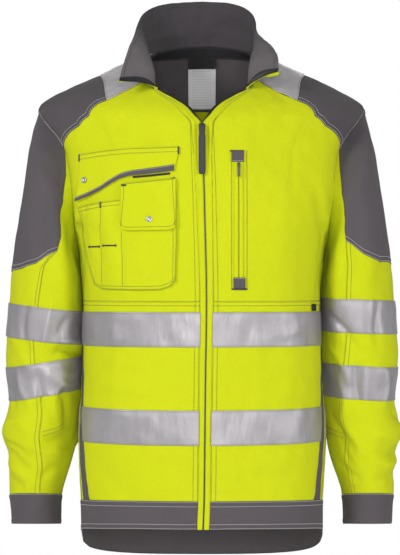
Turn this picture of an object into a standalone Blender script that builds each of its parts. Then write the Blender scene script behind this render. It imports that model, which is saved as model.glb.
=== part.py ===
"""High-visibility work jacket, filled out with no wearer: every cut piece of cloth is a thin closed
solid of its own, taken from three smooth surfaces (body, sleeve, collar) built from short tables of
sections.  Metres, +Z up, the front faces -Y, the origin is in the middle of the neck at the height
of the shoulder-neck points.  R is the wearer's right (-X), L the wearer's left (+X)."""

import math
from collections import namedtuple

import bpy
import numpy as np

WALL = 0.0012          # thickness of the cloth
TRIM = 0.0010          # thickness of tapes, tabs, labels and pocket cloth
GAP = 0.0003           # between one piece and the next, at a seam or one on the other
LAYER = GAP + TRIM     # from one trim layer to the next
SHARP_GAP = 0.0008     # at the seams of pieces that fold or come to a sharp corner
SHARP_PIECES = ("front_welt", "side_insert", "shoulder_yoke", "sleeve_inner", "sleeve_cap", "collar",
                "front_upper")
UPWARDS = np.array([0.31, 0.17, 1.0])    # no seam lies square to this
MOST_MITRE = 0.1       # keeps a sharp corner from being drawn in without end
ROOM = 0.0005          # more of it between facets that don't follow each other
SIDES = {"R": -1, "L": 1}
STEP = 1e-4            # for slopes worked out by differences
REAR = 1 + STEP / 10   # the armhole's rear edge, its front edge being 1
BACK = 1 + STEP / 20   # anything past this is behind it

# Body sections from the neck seam down.  shift moves the front edge sideways, open is half the gap
# between the two front edges, arm_front and arm_back are the edges of the armhole, round is the
# power of the section's superellipse, dip_front and dip_back bend its height towards the middle.
Section = namedtuple("Section", "shift open front_y front_z back_y back_z edge_x edge_z "
                                "arm_front arm_back round dip_front dip_back")
BODY = (
    Section(0.0000, 0.066, -0.082, -0.062, 0.076, 0.020, 0.084, 0.000, 0.000, 0.000, 2.20, 1.2, 1.3),
    Section(0.0000, 0.045, -0.098, -0.076, 0.094, -0.010, 0.122, -0.017, 0.000, 0.000, 2.00, 1.3, 1.3),
    Section(0.0000, 0.028, -0.112, -0.089, 0.108, -0.042, 0.160, -0.035, 0.000, 0.000, 1.90, 1.4, 1.4),
    Section(0.0000, 0.013, -0.124, -0.103, 0.118, -0.078, 0.206, -0.056, 0.000, 0.000, 1.75, 1.4, 1.4),
    Section(0.0000, 0.000, -0.133, -0.120, 0.126, -0.112, 0.247, -0.086, 0.000, 0.000, 1.60, 1.3, 1.3),
    Section(0.0010, 0.000, -0.138, -0.162, 0.132, -0.155, 0.205, -0.148, -0.040, 0.046, 1.90, 1.0, 1.0),
    Section(0.0030, 0.000, -0.141, -0.210, 0.137, -0.208, 0.194, -0.205, -0.062, 0.066, 2.10, 1.0, 1.0),
    Section(0.0040, 0.000, -0.142, -0.252, 0.140, -0.252, 0.190, -0.250, -0.044, 0.048, 2.40, 1.0, 1.0),
    Section(0.0050, 0.000, -0.142, -0.288, 0.140, -0.288, 0.187, -0.274, 0.000, 0.000, 2.60, 1.0, 1.0),
    Section(0.0065, 0.000, -0.141, -0.376, 0.138, -0.376, 0.179, -0.376, 0.000, 0.000, 2.60, 1.0, 1.0),
    Section(0.0050, 0.000, -0.139, -0.486, 0.134, -0.486, 0.181, -0.486, 0.000, 0.000, 2.60, 1.0, 1.0),
    Section(0.0040, 0.000, -0.138, -0.5825, 0.132, -0.5825, 0.186, -0.5825, 0.000, 0.000, 2.60, 1.0, 1.0),
    Section(0.0030, 0.000, -0.137, -0.663, 0.131, -0.737, 0.182, -0.680, 0.000, 0.000, 2.80, 0.6, 0.7),
    Section(0.0015, 0.000, -0.136, -0.704, 0.130, -0.780, 0.181, -0.728, 0.000, 0.000, 2.80, 0.6, 0.7),
)
NECK, STRIP_END, SHOULDER, YOKE_END, ARMPIT, LEVEL_SEAM, HEM_TOP, HEM = 0, 1.88, 4, 5, 8, 9, 12, 13
STRIP_TURN = 0.85      # past this, round the body, the strip ends on the section STRIP_END

# Sleeve sections past the armhole: the outer and the inner point of each ring and its depth.
Ring = namedtuple("Ring", "outer_x outer_z inner_x inner_z front_y back_y")
SLEEVE = (
    Ring(0.261, -0.138, 0.191, -0.306, -0.078, 0.080),
    Ring(0.275, -0.228, 0.185, -0.345, -0.079, 0.083),
    Ring(0.287, -0.318, 0.184, -0.392, -0.076, 0.080),
    Ring(0.293, -0.395, 0.184, -0.442, -0.071, 0.075),
    Ring(0.298, -0.461, 0.185, -0.490, -0.067, 0.070),
    Ring(0.292, -0.522, 0.188, -0.540, -0.063, 0.064),
    Ring(0.303, -0.577, 0.192, -0.588, -0.061, 0.060),
    Ring(0.293, -0.612, 0.198, -0.618, -0.058, 0.057),
    Ring(0.292, -0.643, 0.207, -0.645, -0.055, 0.054),
    Ring(0.292, -0.669, 0.213, -0.669, -0.051, 0.050),
    Ring(0.289, -0.714, 0.215, -0.714, -0.048, 0.047),
)
CUFF_TOP, CUFF_END = 10, 11
ARM_ANGLES = (0, 62, 108, 144, 180)     # degrees round the armhole at body sections 4 to 8

# Top edge of the collar from the front tip (first) to the middle of the back, for each side, and
# how far the cloth between the seam and that edge bulges inwards and upwards.
Edge = namedtuple("Edge", "x y z")
COLLAR_TOP = {
    "R": (Edge(0.122, -0.110, -0.056), Edge(0.117, -0.092, -0.034), Edge(0.110, -0.068, -0.006),
          Edge(0.103, -0.035, 0.020), Edge(0.099, 0.000, 0.042), Edge(0.093, 0.030, 0.062),
          Edge(0.076, 0.056, 0.078), Edge(0.044, 0.078, 0.088), Edge(0.000, 0.086, 0.092)),
    "L": (Edge(0.113, -0.100, -0.042), Edge(0.112, -0.086, -0.022), Edge(0.104, -0.060, 0.000),
          Edge(0.091, -0.030, 0.018), Edge(0.083, -0.002, 0.036), Edge(0.082, 0.028, 0.057),
          Edge(0.069, 0.054, 0.076), Edge(0.040, 0.076, 0.088), Edge(0.000, 0.086, 0.092)),
}
COLLAR_ROLL = (0.006, 0.040, 0.032, 0.014, 0.005, 0.003, 0.003, 0.003, 0.003)

# The side insert: the height, and its front and rear edges round the body, 1 being the side.
Insert = namedtuple("Insert", "z front rear")
INSERT = (Insert(-0.264, 0.96, 1.04), Insert(-0.310, 0.86, 0.97), Insert(-0.445, 0.85, 0.955),
          Insert(-0.500, 0.77, 0.88), Insert(-0.5825, 0.70, 0.80), Insert(-0.680, 0.63, 0.735))

# Seams seen from the front, as distances from the middle and heights.
Spot = namedtuple("Spot", "x z")
STRIP_SEAM = (Spot(0.090, -0.052), Spot(0.112, -0.065), Spot(0.140, -0.079))
YOKE_SEAM = (Spot(0.140, -0.079), Spot(0.155, -0.085), Spot(0.166, -0.103), Spot(0.180, -0.116),
             Spot(0.195, -0.126), Spot(0.205, -0.148))
# The two sleeves hang a little differently, so theirs are given for each side.
CAP_EDGE = {
    "R": (Spot(0.205, -0.148), Spot(0.201, -0.180), Spot(0.203, -0.214), Spot(0.206, -0.247),
          Spot(0.210, -0.278), Spot(0.216, -0.302)),
    "L": (Spot(0.205, -0.148), Spot(0.205, -0.180), Spot(0.206, -0.210), Spot(0.209, -0.240),
          Spot(0.211, -0.264), Spot(0.214, -0.286)),
}
CAP_HEM = {
    "R": (Spot(0.216, -0.302), Spot(0.247, -0.321), Spot(0.274, -0.330), Spot(0.289, -0.334)),
    "L": (Spot(0.214, -0.286), Spot(0.236, -0.305), Spot(0.262, -0.318), Spot(0.287, -0.324)),
}
SLEEVE_SEAM = {
    "R": (Spot(0.216, -0.302), Spot(0.233, -0.322), Spot(0.239, -0.359), Spot(0.249, -0.430),
          Spot(0.246, -0.475), Spot(0.237, -0.540), Spot(0.239, -0.600), Spot(0.241, -0.669)),
    "L": (Spot(0.214, -0.286), Spot(0.216, -0.318), Spot(0.215, -0.374), Spot(0.214, -0.430),
          Spot(0.212, -0.467), Spot(0.205, -0.522), Spot(0.209, -0.580), Spot(0.223, -0.669)),
}

EDGE_GAP = 0.0010      # the front edges meet this near the zip's middle
TAPE_EDGE = 0.0004     # and the zip's tapes this near
COLLAR_EDGE = 0.0025   # width of the collar's binding where it starts at the neck seam
ZIP_TAPE_WIDTH = 0.0115
ZIP_START = 0.15       # body section at which the tape starts, clear of the folded neck seam
WELT_END = 0.0087      # the welt's outer seam, from the front edge
TAPE = 0.0505          # height of a reflective tape
BODY_TAPES = {"upper": -0.390, "lower": -0.532}          # top edges
Sloped = namedtuple("Sloped", "outer inner")             # heights on the two sides of a sleeve
SLEEVE_TAPES = {"R": {"upper": Sloped(-0.378, -0.391), "lower": Sloped(-0.476, -0.458)},
                "L": {"upper": Sloped(-0.375, -0.370), "lower": Sloped(-0.475, -0.468)}}
ELBOW = Sloped(-0.451, -0.450)

Colour = namedtuple("Colour", "rgb rough metal")
COLOURS = {
    "lime_cloth": Colour((0.60, 0.70, 0.02), 0.75, 0),
    "grey_cloth": Colour((0.11, 0.10, 0.11), 0.80, 0),
    "reflective_tape": Colour((0.42, 0.41, 0.42), 0.35, 0),
    "black_webbing": Colour((0.01, 0.01, 0.012), 0.60, 0),
    "white_label": Colour((0.75, 0.72, 0.75), 0.60, 0),
    "dark_metal": Colour((0.10, 0.10, 0.10), 0.35, 1),
    "steel": Colour((0.55, 0.55, 0.55), 0.30, 1),
}

# Pockets and trims, seen from the front: distances from the middle and heights.
FLAP_TOP = (Spot(0.180, -0.160), Spot(0.145, -0.156), Spot(0.104, -0.153), Spot(0.032, -0.151))
FLAP_EDGE = (Spot(0.182, -0.227), Spot(0.147, -0.2135), Spot(0.131, -0.204), Spot(0.117, -0.196),
             Spot(0.104, -0.1925), Spot(0.075, -0.190), Spot(0.040, -0.1855))
FLAP_TRIM = (0.0045, 0.0085)            # width of the flap's trim at its outer and inner ends
POCKET_TOP = (Spot(0.180, -0.2365), Spot(0.119, -0.2280), Spot(0.036, -0.215))
POCKET_LEFT = (Spot(0.180, -0.2365), Spot(0.173, -0.286), Spot(0.166, -0.318), Spot(0.155, -0.350))
POCKET_RIGHT = (Spot(0.036, -0.215), Spot(0.036, -0.290), Spot(0.038, -0.344))
POCKET_FOOT = (Spot(0.155, -0.350), Spot(0.145, -0.357), Spot(0.100, -0.3585), Spot(0.060, -0.358),
               Spot(0.046, -0.353), Spot(0.038, -0.344))
Box = namedtuple("Box", "left right top bottom")
PHONE_FLAP = Box(0.1165, 0.0375, -0.2010, -0.2715)
PHONE_FLAP_SLANT = 0.004                # the flap's inner end is this much higher, its outer end lower
FLAP_FLARE = 0.0012                     # a flap's free edge stands this far off
POCKET_ZIP = Box(0.0505, 0.0555, -0.1660, -0.3460)
POCKET_TAB_UPPER = Box(0.0418, 0.0605, -0.1580, -0.1735)
POCKET_TAB_LOWER = Box(0.0447, 0.0627, -0.3400, -0.3560)
SIDE_TAB = Box(0.1600, 0.1670, -0.3790, -0.3893)
SNAP_FLAP, SNAP_PHONE = Spot(0.1705, -0.1980), Spot(0.0750, -0.2560)
SNAP_FLARE = 0.6                        # share of the flap's flare at a snap
SNAP_RADIUS, SNAP_HEIGHT = 0.0044, 0.0016

# Inside the neck: half widths, and the body sections between which each piece lies.
Inside = namedtuple("Inside", "half top bottom")
NECK_LABEL, CARE_LABEL = Inside(0.022, 0.62, 1.24), Inside(0.022, 1.16, 3.02)
NECK_TAPE_ROWS, NECK_TAPE_START = (0.12, 0.70), 1.42

# The main zip's slider and pull, and the chest pocket's: sizes of the slider's plate and bridge,
# and of the pull that hangs in front of it.
Slider = namedtuple("Slider", "x top width height plate bridge_width bridge_height bridge")
Pull = namedtuple("Pull", "width length thick neck_width")
MAIN_SLIDER = Slider(0.0000, -0.1175, 0.0100, 0.0165, 0.0034, 0.0040, 0.0100, 0.0028)
MAIN_PULL = Pull(0.0100, 0.0680, 0.0016, 0.0060)
POCKET_SLIDER = Slider(0.0530, -0.1745, 0.0050, 0.0070, 0.0016, 0.0024, 0.0050, 0.0012)
POCKET_PULL = Pull(0.0040, 0.0175, 0.0010, 0.0026)
PULL_LEDGE = 0.0005                     # of a pull above its hinge


# ---- surfaces ----------------------------------------------------------------------------------

def smooth_rows(rows, at):
    """Rows 0, 1, 2... joined by monotone cubics, read at the places `at`.  A row may be a number or,
    with as many entries as `at`, one point for each place."""
    rows = np.asarray(rows, float)
    step = np.diff(rows, axis=0)
    product = step[:-1] * step[1:]
    total = step[:-1] + step[1:]
    slope = np.zeros_like(rows)
    slope[1:-1] = np.where(product > 0, 2 * product / np.where(total == 0, 1, total), 0)
    slope[0], slope[-1] = step[0], step[-1]
    low = np.clip(np.floor(at).astype(int), 0, len(rows) - 2)
    part = at - low
    if rows.ndim > 1:
        places = np.arange(len(at))
        first, second = (low, places), (low + 1, places)
        part = part[:, None]
    else:
        first, second = low, low + 1
    cube, square = part ** 3, part ** 2
    return (rows[first] * (2 * cube - 3 * square + 1) + slope[first] * (cube - 2 * square + part)
            + rows[second] * (3 * square - 2 * cube) + slope[second] * (cube - square))


def unit(vectors):
    return vectors / np.maximum(np.linalg.norm(vectors, axis=-1, keepdims=True), 1e-12)


class Surface:
    """A smooth surface of two parameters.  turn is +1 or -1, so that its normals face outwards."""
    turn = 1
    limits = ((0, 2), (0, 1))

    def point(self, a, b):
        raise NotImplementedError

    def spans(self, a, b):
        """The places on each side of (a, b) between which the slopes are measured."""
        (a_low, a_high), (b_low, b_high) = self.limits
        return ((np.maximum(a - STEP, a_low), np.minimum(a + STEP, a_high)),
                (np.maximum(b - STEP, b_low), np.minimum(b + STEP, b_high)))

    def plain_normal(self, a, b):
        (a_low, a_high), (b_low, b_high) = self.spans(a, b)
        along_a = self.point(a_high, b) - self.point(a_low, b)
        along_b = self.point(a, b_high) - self.point(a, b_low)
        return self.turn * unit(np.cross(unit(along_b), unit(along_a)))

    def normal(self, a, b):
        return self.plain_normal(a, b)

    def locate(self, spots, guess):
        """Parameters of the points seen from the front at the given x and z, by Newton's method."""
        target = np.array([(spot.x, spot.z) for spot in spots])
        place = np.tile(np.array(guess, float), (len(target), 1))
        for _ in range(40):
            here = self.point(place[:, 0], place[:, 1])[:, [0, 2]]
            along_a = (self.point(place[:, 0] + STEP, place[:, 1])[:, [0, 2]] - here) / STEP
            along_b = (self.point(place[:, 0], place[:, 1] + STEP)[:, [0, 2]] - here) / STEP
            off = target - here
            det = along_a[:, 0] * along_b[:, 1] - along_a[:, 1] * along_b[:, 0]
            det = np.where(np.abs(det) < 1e-9, 1e-9, det)
            move_a = (off[:, 0] * along_b[:, 1] - off[:, 1] * along_b[:, 0]) / det
            move_b = (along_a[:, 0] * off[:, 1] - along_a[:, 1] * off[:, 0]) / det
            place[:, 0] += np.clip(move_a, -0.1, 0.1) * 0.7
            place[:, 1] += np.clip(move_b, -0.5, 0.5) * 0.7
            place = np.clip(place, [self.limits[0][0], self.limits[1][0]],
                            [self.limits[0][1], self.limits[1][1]])
        return place


class Body(Surface):
    """One half of the body.  a runs from 0 at the front edge through 1 at the side to 2 at the middle
    of the back, b is the section's number.  Past the shoulder point and above the armpit a = 1 is the
    armhole's front edge and anything above 1 lies behind its back edge."""
    limits = ((-0.05, 2.05), (0, HEM))

    def __init__(self, side):
        self.side = self.turn = side
        self.sleeve = self.collar = None

    def point(self, a, b):
        a, b = np.broadcast_arrays(np.asarray(a, float), np.asarray(b, float))
        row = Section(*(smooth_rows([getattr(section, name) for section in BODY], b)
                        for name in Section._fields))
        back = a > BACK
        angle = np.where(back, 2 - a, a) * math.pi / 2
        cos, sin = np.cos(angle), np.sin(angle)
        reach = (np.abs(cos) ** row.round + np.abs(sin) ** row.round) ** (-1 / row.round)
        middle_x = np.where(back, 0, row.shift + self.side * row.open)
        middle_y = np.where(back, row.back_y, row.front_y)
        middle_z = np.where(back, row.back_z, row.front_z)
        edge_y = np.where(back, row.arm_back, row.arm_front)
        dip = np.where(back, row.dip_back, row.dip_front)
        inwards = reach * cos
        return np.stack([middle_x + (self.side * row.edge_x - middle_x) * reach * sin,
                         edge_y + (middle_y - edge_y) * inwards,
                         row.edge_z + (middle_z - row.edge_z) * np.maximum(inwards, 0) ** dip], axis=-1)

    def spans(self, a, b):
        (a_low, a_high), b_span = super().spans(a, b)
        cut = (b > SHOULDER) & (b < ARMPIT)
        return ((np.where(cut & (a > BACK), np.maximum(a_low, REAR), a_low),
                 np.where(cut & (a <= BACK), np.minimum(a_high, 1), a_high)), b_span)

    def normal(self, a, b):
        """On the armhole and on the neck seam, the direction midway between the two surfaces."""
        a, b = np.broadcast_arrays(np.asarray(a, float), np.asarray(b, float))
        found = self.plain_normal(a, b)
        on_armhole = (np.abs(a - 1) < 2e-4) & (b > SHOULDER - 1e-6) & (b < ARMPIT + 1e-6)
        if self.sleeve is not None and on_armhole.any():
            angle = self.sleeve.angle_of(a[on_armhole], b[on_armhole])
            other = self.sleeve.plain_normal(angle, np.full_like(angle, STEP))
            found[on_armhole] = unit(found[on_armhole] + other)
        on_neck = b < 1e-6
        if self.collar is not None and on_neck.any():
            other = self.collar.plain_normal(a[on_neck], np.zeros_like(a[on_neck]))
            found[on_neck] = unit(found[on_neck] + other)
        return found

    def from_edge(self, distance, b):
        """The parameter a at this distance from the front edge."""
        row_x = smooth_rows([section.edge_x for section in BODY], b)
        shift = smooth_rows([section.shift for section in BODY], b)
        spread = smooth_rows([section.open for section in BODY], b)
        return distance / (np.abs(self.side * row_x - shift - self.side * spread) * math.pi / 2)

    def from_back(self, distance, b):
        """The parameter a at this distance from the middle of the back."""
        return 2 - distance / (smooth_rows([section.edge_x for section in BODY], b) * math.pi / 2)

    def at_height(self, a, z):
        """The section number at which the surface has the height z."""
        low = np.full(np.shape(a), float(NECK))
        high = np.full(np.shape(a), float(HEM))
        for _ in range(40):
            middle = (low + high) / 2
            above = self.point(a, middle)[..., 2] > z
            low, high = np.where(above, middle, low), np.where(above, high, middle)
        return (low + high) / 2


class Sleeve(Surface):
    """A sleeve.  a is the angle in turns of 360 degrees / 2 pi from the outer side forwards, b is 0 on
    the armhole and then the ring's number."""
    limits = ((-10, 10), (0, CUFF_END))

    def __init__(self, side, body):
        self.side, self.body = side, body
        self.turn = -side

    def armhole(self, angle):
        """The body's armhole edge at these angles."""
        turned = np.mod(angle + math.pi, 2 * math.pi) - math.pi
        b = np.interp(np.degrees(np.abs(turned)), ARM_ANGLES, np.arange(SHOULDER, ARMPIT + 1))
        return self.body.point(np.where(turned < 0, REAR, 1), b)

    def angle_of(self, a, b):
        """The angle at which the body's armhole point (a, b) lies."""
        size = np.radians(np.interp(b, np.arange(SHOULDER, ARMPIT + 1), ARM_ANGLES))
        return np.where(a > 1, -size, size)

    def point(self, a, b):
        a, b = np.broadcast_arrays(np.asarray(a, float), np.asarray(b, float))
        shape = a.shape
        a, b = a.ravel(), b.ravel()
        rings = [self.armhole(a)]
        cos, sin = np.cos(a), np.sin(a)
        for ring in SLEEVE:
            reach = np.where(sin > 0, -ring.front_y + ring.back_y, ring.back_y - ring.front_y) / 2
            middle_y = (ring.front_y + ring.back_y) / 2
            rings.append(np.stack([
                self.side * ((ring.outer_x + ring.inner_x) + (ring.outer_x - ring.inner_x) * cos) / 2,
                middle_y - reach * sin,
                ((ring.outer_z + ring.inner_z) + (ring.outer_z - ring.inner_z) * cos) / 2], axis=-1))
        return smooth_rows(rings, b).reshape(shape + (3,))

    def normal(self, a, b):
        a, b = np.broadcast_arrays(np.asarray(a, float), np.asarray(b, float))
        found = self.plain_normal(a, b)
        on_armhole = b < 1e-6
        if on_armhole.any():
            turned = np.mod(a[on_armhole] + math.pi, 2 * math.pi) - math.pi
            rows = np.interp(np.degrees(np.abs(turned)), ARM_ANGLES, np.arange(SHOULDER, ARMPIT + 1))
            found[on_armhole] = self.body.normal(np.where(turned < 0, REAR, 1), rows)
        return found


class Collar(Surface):
    """One half of the collar.  a follows the neck seam as on the body, b is 0 on the seam and 1 on the
    top edge.  Its normals face away from the neck."""
    limits = ((-0.05, 2.05), (0, 1))

    def __init__(self, side_name, body):
        self.side, self.body = SIDES[side_name], body
        self.turn = -self.side
        self.top = COLLAR_TOP[side_name]

    def point(self, a, b):
        a, b = np.broadcast_arrays(np.asarray(a, float), np.asarray(b, float))
        base = self.body.point(a, np.zeros_like(a))
        row = np.abs(a) * (len(self.top) - 1) / 2
        row = np.minimum(row, 2 * (len(self.top) - 1) - row)
        top = Edge(*(smooth_rows([getattr(edge, name) for edge in self.top], row)
                     for name in Edge._fields))
        sign = np.where(a > 2, -1, 1)
        edge = np.stack([self.side * sign * top.x, top.y, top.z], axis=-1)
        roll = smooth_rows(COLLAR_ROLL, row)[..., None]
        inwards = -unit(((base + edge) / 2) * [1, 1, 0])
        control = (base + edge) / 2 + roll * (inwards * [1, 0.4, 0] + [0, 0, 1])
        b = b[..., None]
        return base * (1 - b) ** 2 + control * 2 * b * (1 - b) + edge * b ** 2

    def normal(self, a, b):
        a, b = np.broadcast_arrays(np.asarray(a, float), np.asarray(b, float))
        found = self.plain_normal(a, b)
        on_seam = b < 1e-6
        if on_seam.any():
            found[on_seam] = self.body.normal(a[on_seam], b[on_seam])
        return found


# ---- grids -------------------------------------------------------------------------------------

Grid = namedtuple("Grid", "points normals")


def patch(top, bottom, left, right):
    """A grid of parameters between four edges (a Coons patch).  top and bottom run the same way."""
    across = np.linspace(0, 1, len(top))[:, None, None]
    down = np.linspace(0, 1, len(left))[None, :, None]
    top, bottom = np.asarray(top)[:, None], np.asarray(bottom)[:, None]
    left, right = np.asarray(left)[None], np.asarray(right)[None]
    corners = ((1 - across) * (1 - down) * top[0, 0] + across * (1 - down) * top[-1, 0]
               + (1 - across) * down * bottom[0, 0] + across * down * bottom[-1, 0])
    return (1 - down) * top + down * bottom + (1 - across) * left + across * right - corners


def lay(surface, places):
    """The points and normals of a surface at a grid of parameters."""
    return Grid(surface.point(places[..., 0], places[..., 1]),
                surface.normal(places[..., 0], places[..., 1]))


def joined(*grids):
    """Grids side by side, each starting where the last one ends."""
    parts = [grids[0]] + [Grid(grid.points[1:], grid.normals[1:]) for grid in grids[1:]]
    return Grid(np.concatenate([part.points for part in parts]),
                np.concatenate([part.normals for part in parts]))


def rows_of(grid, first, end):
    """Some of a grid's rows."""
    return Grid(grid.points[:, first:end], grid.normals[:, first:end])


def inwards(grid, axis, end):
    """At each point of one edge of a grid, the direction in the surface square to the edge."""
    edge, normals = np.take(grid.points, end, axis), np.take(grid.normals, end, axis)
    inner = np.take(grid.points, 1 if end == 0 else -2, axis)
    square = unit(np.cross(unit(np.gradient(edge, axis=0)), normals))
    return square * np.sign((square * (inner - edge)).sum())


def pulled_in(grid, amount):
    """The grid's points with each of its four edges moved into the surface by this amount."""
    moved = grid.points.copy()
    for end in (0, -1):
        moved[end, 1:-1] += amount * inwards(grid, 0, end)[1:-1]
        moved[1:-1, end] += amount * inwards(grid, 1, end)[1:-1]
        for other in (0, -1):
            one, two = inwards(grid, 0, end)[other], inwards(grid, 1, other)[end]
            moved[end, other] += amount * (one + two) / max(1 + one @ two, MOST_MITRE)
    return moved


# ---- solids ------------------------------------------------------------------------------------

def paint(name):
    material = bpy.data.materials.get(name)
    if material is None:
        material = bpy.data.materials.new(name)
        material.use_nodes = True
        shader = material.node_tree.nodes["Principled BSDF"]
        shader.inputs["Base Color"].default_value = (*COLOURS[name].rgb, 1)
        shader.inputs["Roughness"].default_value = COLOURS[name].rough
        shader.inputs["Metallic"].default_value = COLOURS[name].metal
    return material


def add_solid(name, points, faces, slot, origin=(0, 0, 0)):
    """A mesh object from triangles, turned the right way out."""
    points, faces = np.asarray(points, float) - origin, np.asarray(faces)
    corners = points[faces]
    volume = np.einsum("ij,ij->i", corners[:, 0], np.cross(corners[:, 1], corners[:, 2])).sum()
    if volume < 0:
        faces = faces[:, ::-1]
    mesh = bpy.data.meshes.new(name)
    mesh.from_pydata(points.tolist(), [], faces.tolist())
    mesh.materials.append(paint(slot))
    node = bpy.data.objects.new(name, mesh)
    node.location = origin
    bpy.context.scene.collection.objects.link(node)
    return node


def slab(name, grid, slot, lift=0.0, thick=TRIM, flare=0.0):
    """A thin closed solid on a grid: from lift to lift + thick above it.  A negative lift goes inside.
    flare lifts the grid's last row further, growing down the rows."""
    columns, rows = grid.points.shape[:2]
    rise = (lift + flare * np.linspace(0, 1, rows) ** 2)[None, :, None]
    apart = SHARP_GAP if name.startswith(SHARP_PIECES) else GAP
    low = pulled_in(grid, apart / 2) + grid.normals * rise
    high = low + grid.normals * thick
    points = np.concatenate([low.reshape(-1, 3), high.reshape(-1, 3)])
    index = np.arange(columns * rows).reshape(columns, rows)
    one, two = index[:-1, :-1].ravel(), index[1:, :-1].ravel()
    three, four = index[1:, 1:].ravel(), index[:-1, 1:].ravel()
    sheet = np.concatenate([np.stack([one, two, three], 1), np.stack([one, three, four], 1)])
    above = len(index.ravel())
    rim = np.concatenate([index[:, 0], index[-1, 1:], index[-2::-1, -1], index[0, -2:0:-1]])
    after = np.roll(rim, -1)
    return add_solid(name, points, np.concatenate([
        sheet[:, ::-1], sheet + above, rim_faces(points, rim, after, above)]), slot)


def rim_faces(points, rim, after, above):
    """The narrow faces round a slab.  Each pair is cut from the inside of its lower end to the outside
    of its upper end, so that the edges of two neighbours have the same shape."""
    rising = (points[after] @ UPWARDS > points[rim] @ UPWARDS)[:, None]
    first = np.where(rising, np.stack([rim, after, after + above], 1),
                     np.stack([rim, after, rim + above], 1))
    second = np.where(rising, np.stack([rim, after + above, rim + above], 1),
                      np.stack([after, after + above, rim + above], 1))
    return np.concatenate([first, second])


def stack(name, rings, slot, origin=(0, 0, 0)):
    """A closed solid through rings of points, its two ends closed by flat caps."""
    rings = [np.asarray(ring, float) for ring in rings]
    count = len(rings[0])
    points = np.concatenate(rings + [[rings[0].mean(0)], [rings[-1].mean(0)]])
    first, last = len(points) - 2, len(points) - 1
    here = np.arange(count)
    after = np.roll(here, -1)
    faces = [np.stack([after, here, np.full(count, first)], 1)]
    for low in range(0, count * (len(rings) - 1), count):
        faces.append(np.stack([here, after, after + count], 1) + low)
        faces.append(np.stack([here, after + count, here + count], 1) + low)
    top = count * (len(rings) - 1)
    faces.append(np.stack([here + top, after + top, np.full(count, last)], 1))
    return add_solid(name, points, np.concatenate(faces), slot, origin)


def disc(name, surface, place, lift, radius, height, slot, sides=16):
    """A low round stud on a surface."""
    middle = surface.point(place[0], place[1])
    out = surface.normal(place[0], place[1])
    across = unit(np.cross(out, [0, 0, 1]))
    up = np.cross(across, out)
    angle = np.linspace(0, 2 * math.pi, sides, endpoint=False)[:, None]
    circle = np.cos(angle) * across + np.sin(angle) * up
    rings = [middle + out * (lift + rise) + circle * radius * share
             for rise, share in ((0, 1), (height * 0.6, 1), (height, 0.7))]
    stack(name, rings, slot)


def rounded_box(width, height, corner, steps=3):
    """The outline of an upright rectangle with round corners, about its middle."""
    outline = []
    for turn in range(4):
        x = (width / 2 - corner) * (1 if turn in (0, 3) else -1)
        z = (height / 2 - corner) * (1 if turn in (0, 1) else -1)
        for k in range(steps + 1):
            angle = (turn + k / steps) * math.pi / 2
            outline.append((x + corner * math.cos(angle), z + corner * math.sin(angle)))
    return np.array(outline)


# ---- the pieces of cloth -----------------------------------------------------------------------

def pairs(a, b):
    return np.stack(np.broadcast_arrays(np.asarray(a, float), np.asarray(b, float)), axis=-1)


def sampled(places, count):
    """A path of parameters sampled evenly by its own length."""
    gone = np.concatenate([[0], np.cumsum(np.linalg.norm(np.diff(places, axis=0), axis=1))])
    at = np.linspace(0, gone[-1], count)
    return np.stack([np.interp(at, gone, places[:, 0]), np.interp(at, gone, places[:, 1])], axis=-1)


ARM_FRONT = np.array([5, 5.6, 6.2, 6.9, 7.5])            # body sections down the armhole
ARM_TOP = np.array([5, 4.8, 4.6, 4.4, 4.2, 4])           # and up to the shoulder point
SIDE_UPPER = np.array([7.5, 7.9, 8.3, 8.65, 9])          # down the insert to the level seam
CHEST_ROWS = np.array([0, 0.6, 1.9, 3.1, 4, 4.9, 6.2, 7.6, 9])
# heights of the rows from the level seam down to just above the hem band; tapes fill whole rows
LEVELS = (-0.376, BODY_TAPES["upper"], BODY_TAPES["upper"] - TAPE, -0.486,
          BODY_TAPES["lower"], BODY_TAPES["lower"] - TAPE)
TAPE_ROWS = {"upper": 1, "lower": 4}                     # the level at which each tape begins
FOREARM_RINGS = (6.5, 7, 7.5, 8, 9, CUFF_TOP)            # rows below the lower sleeve tape


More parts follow.
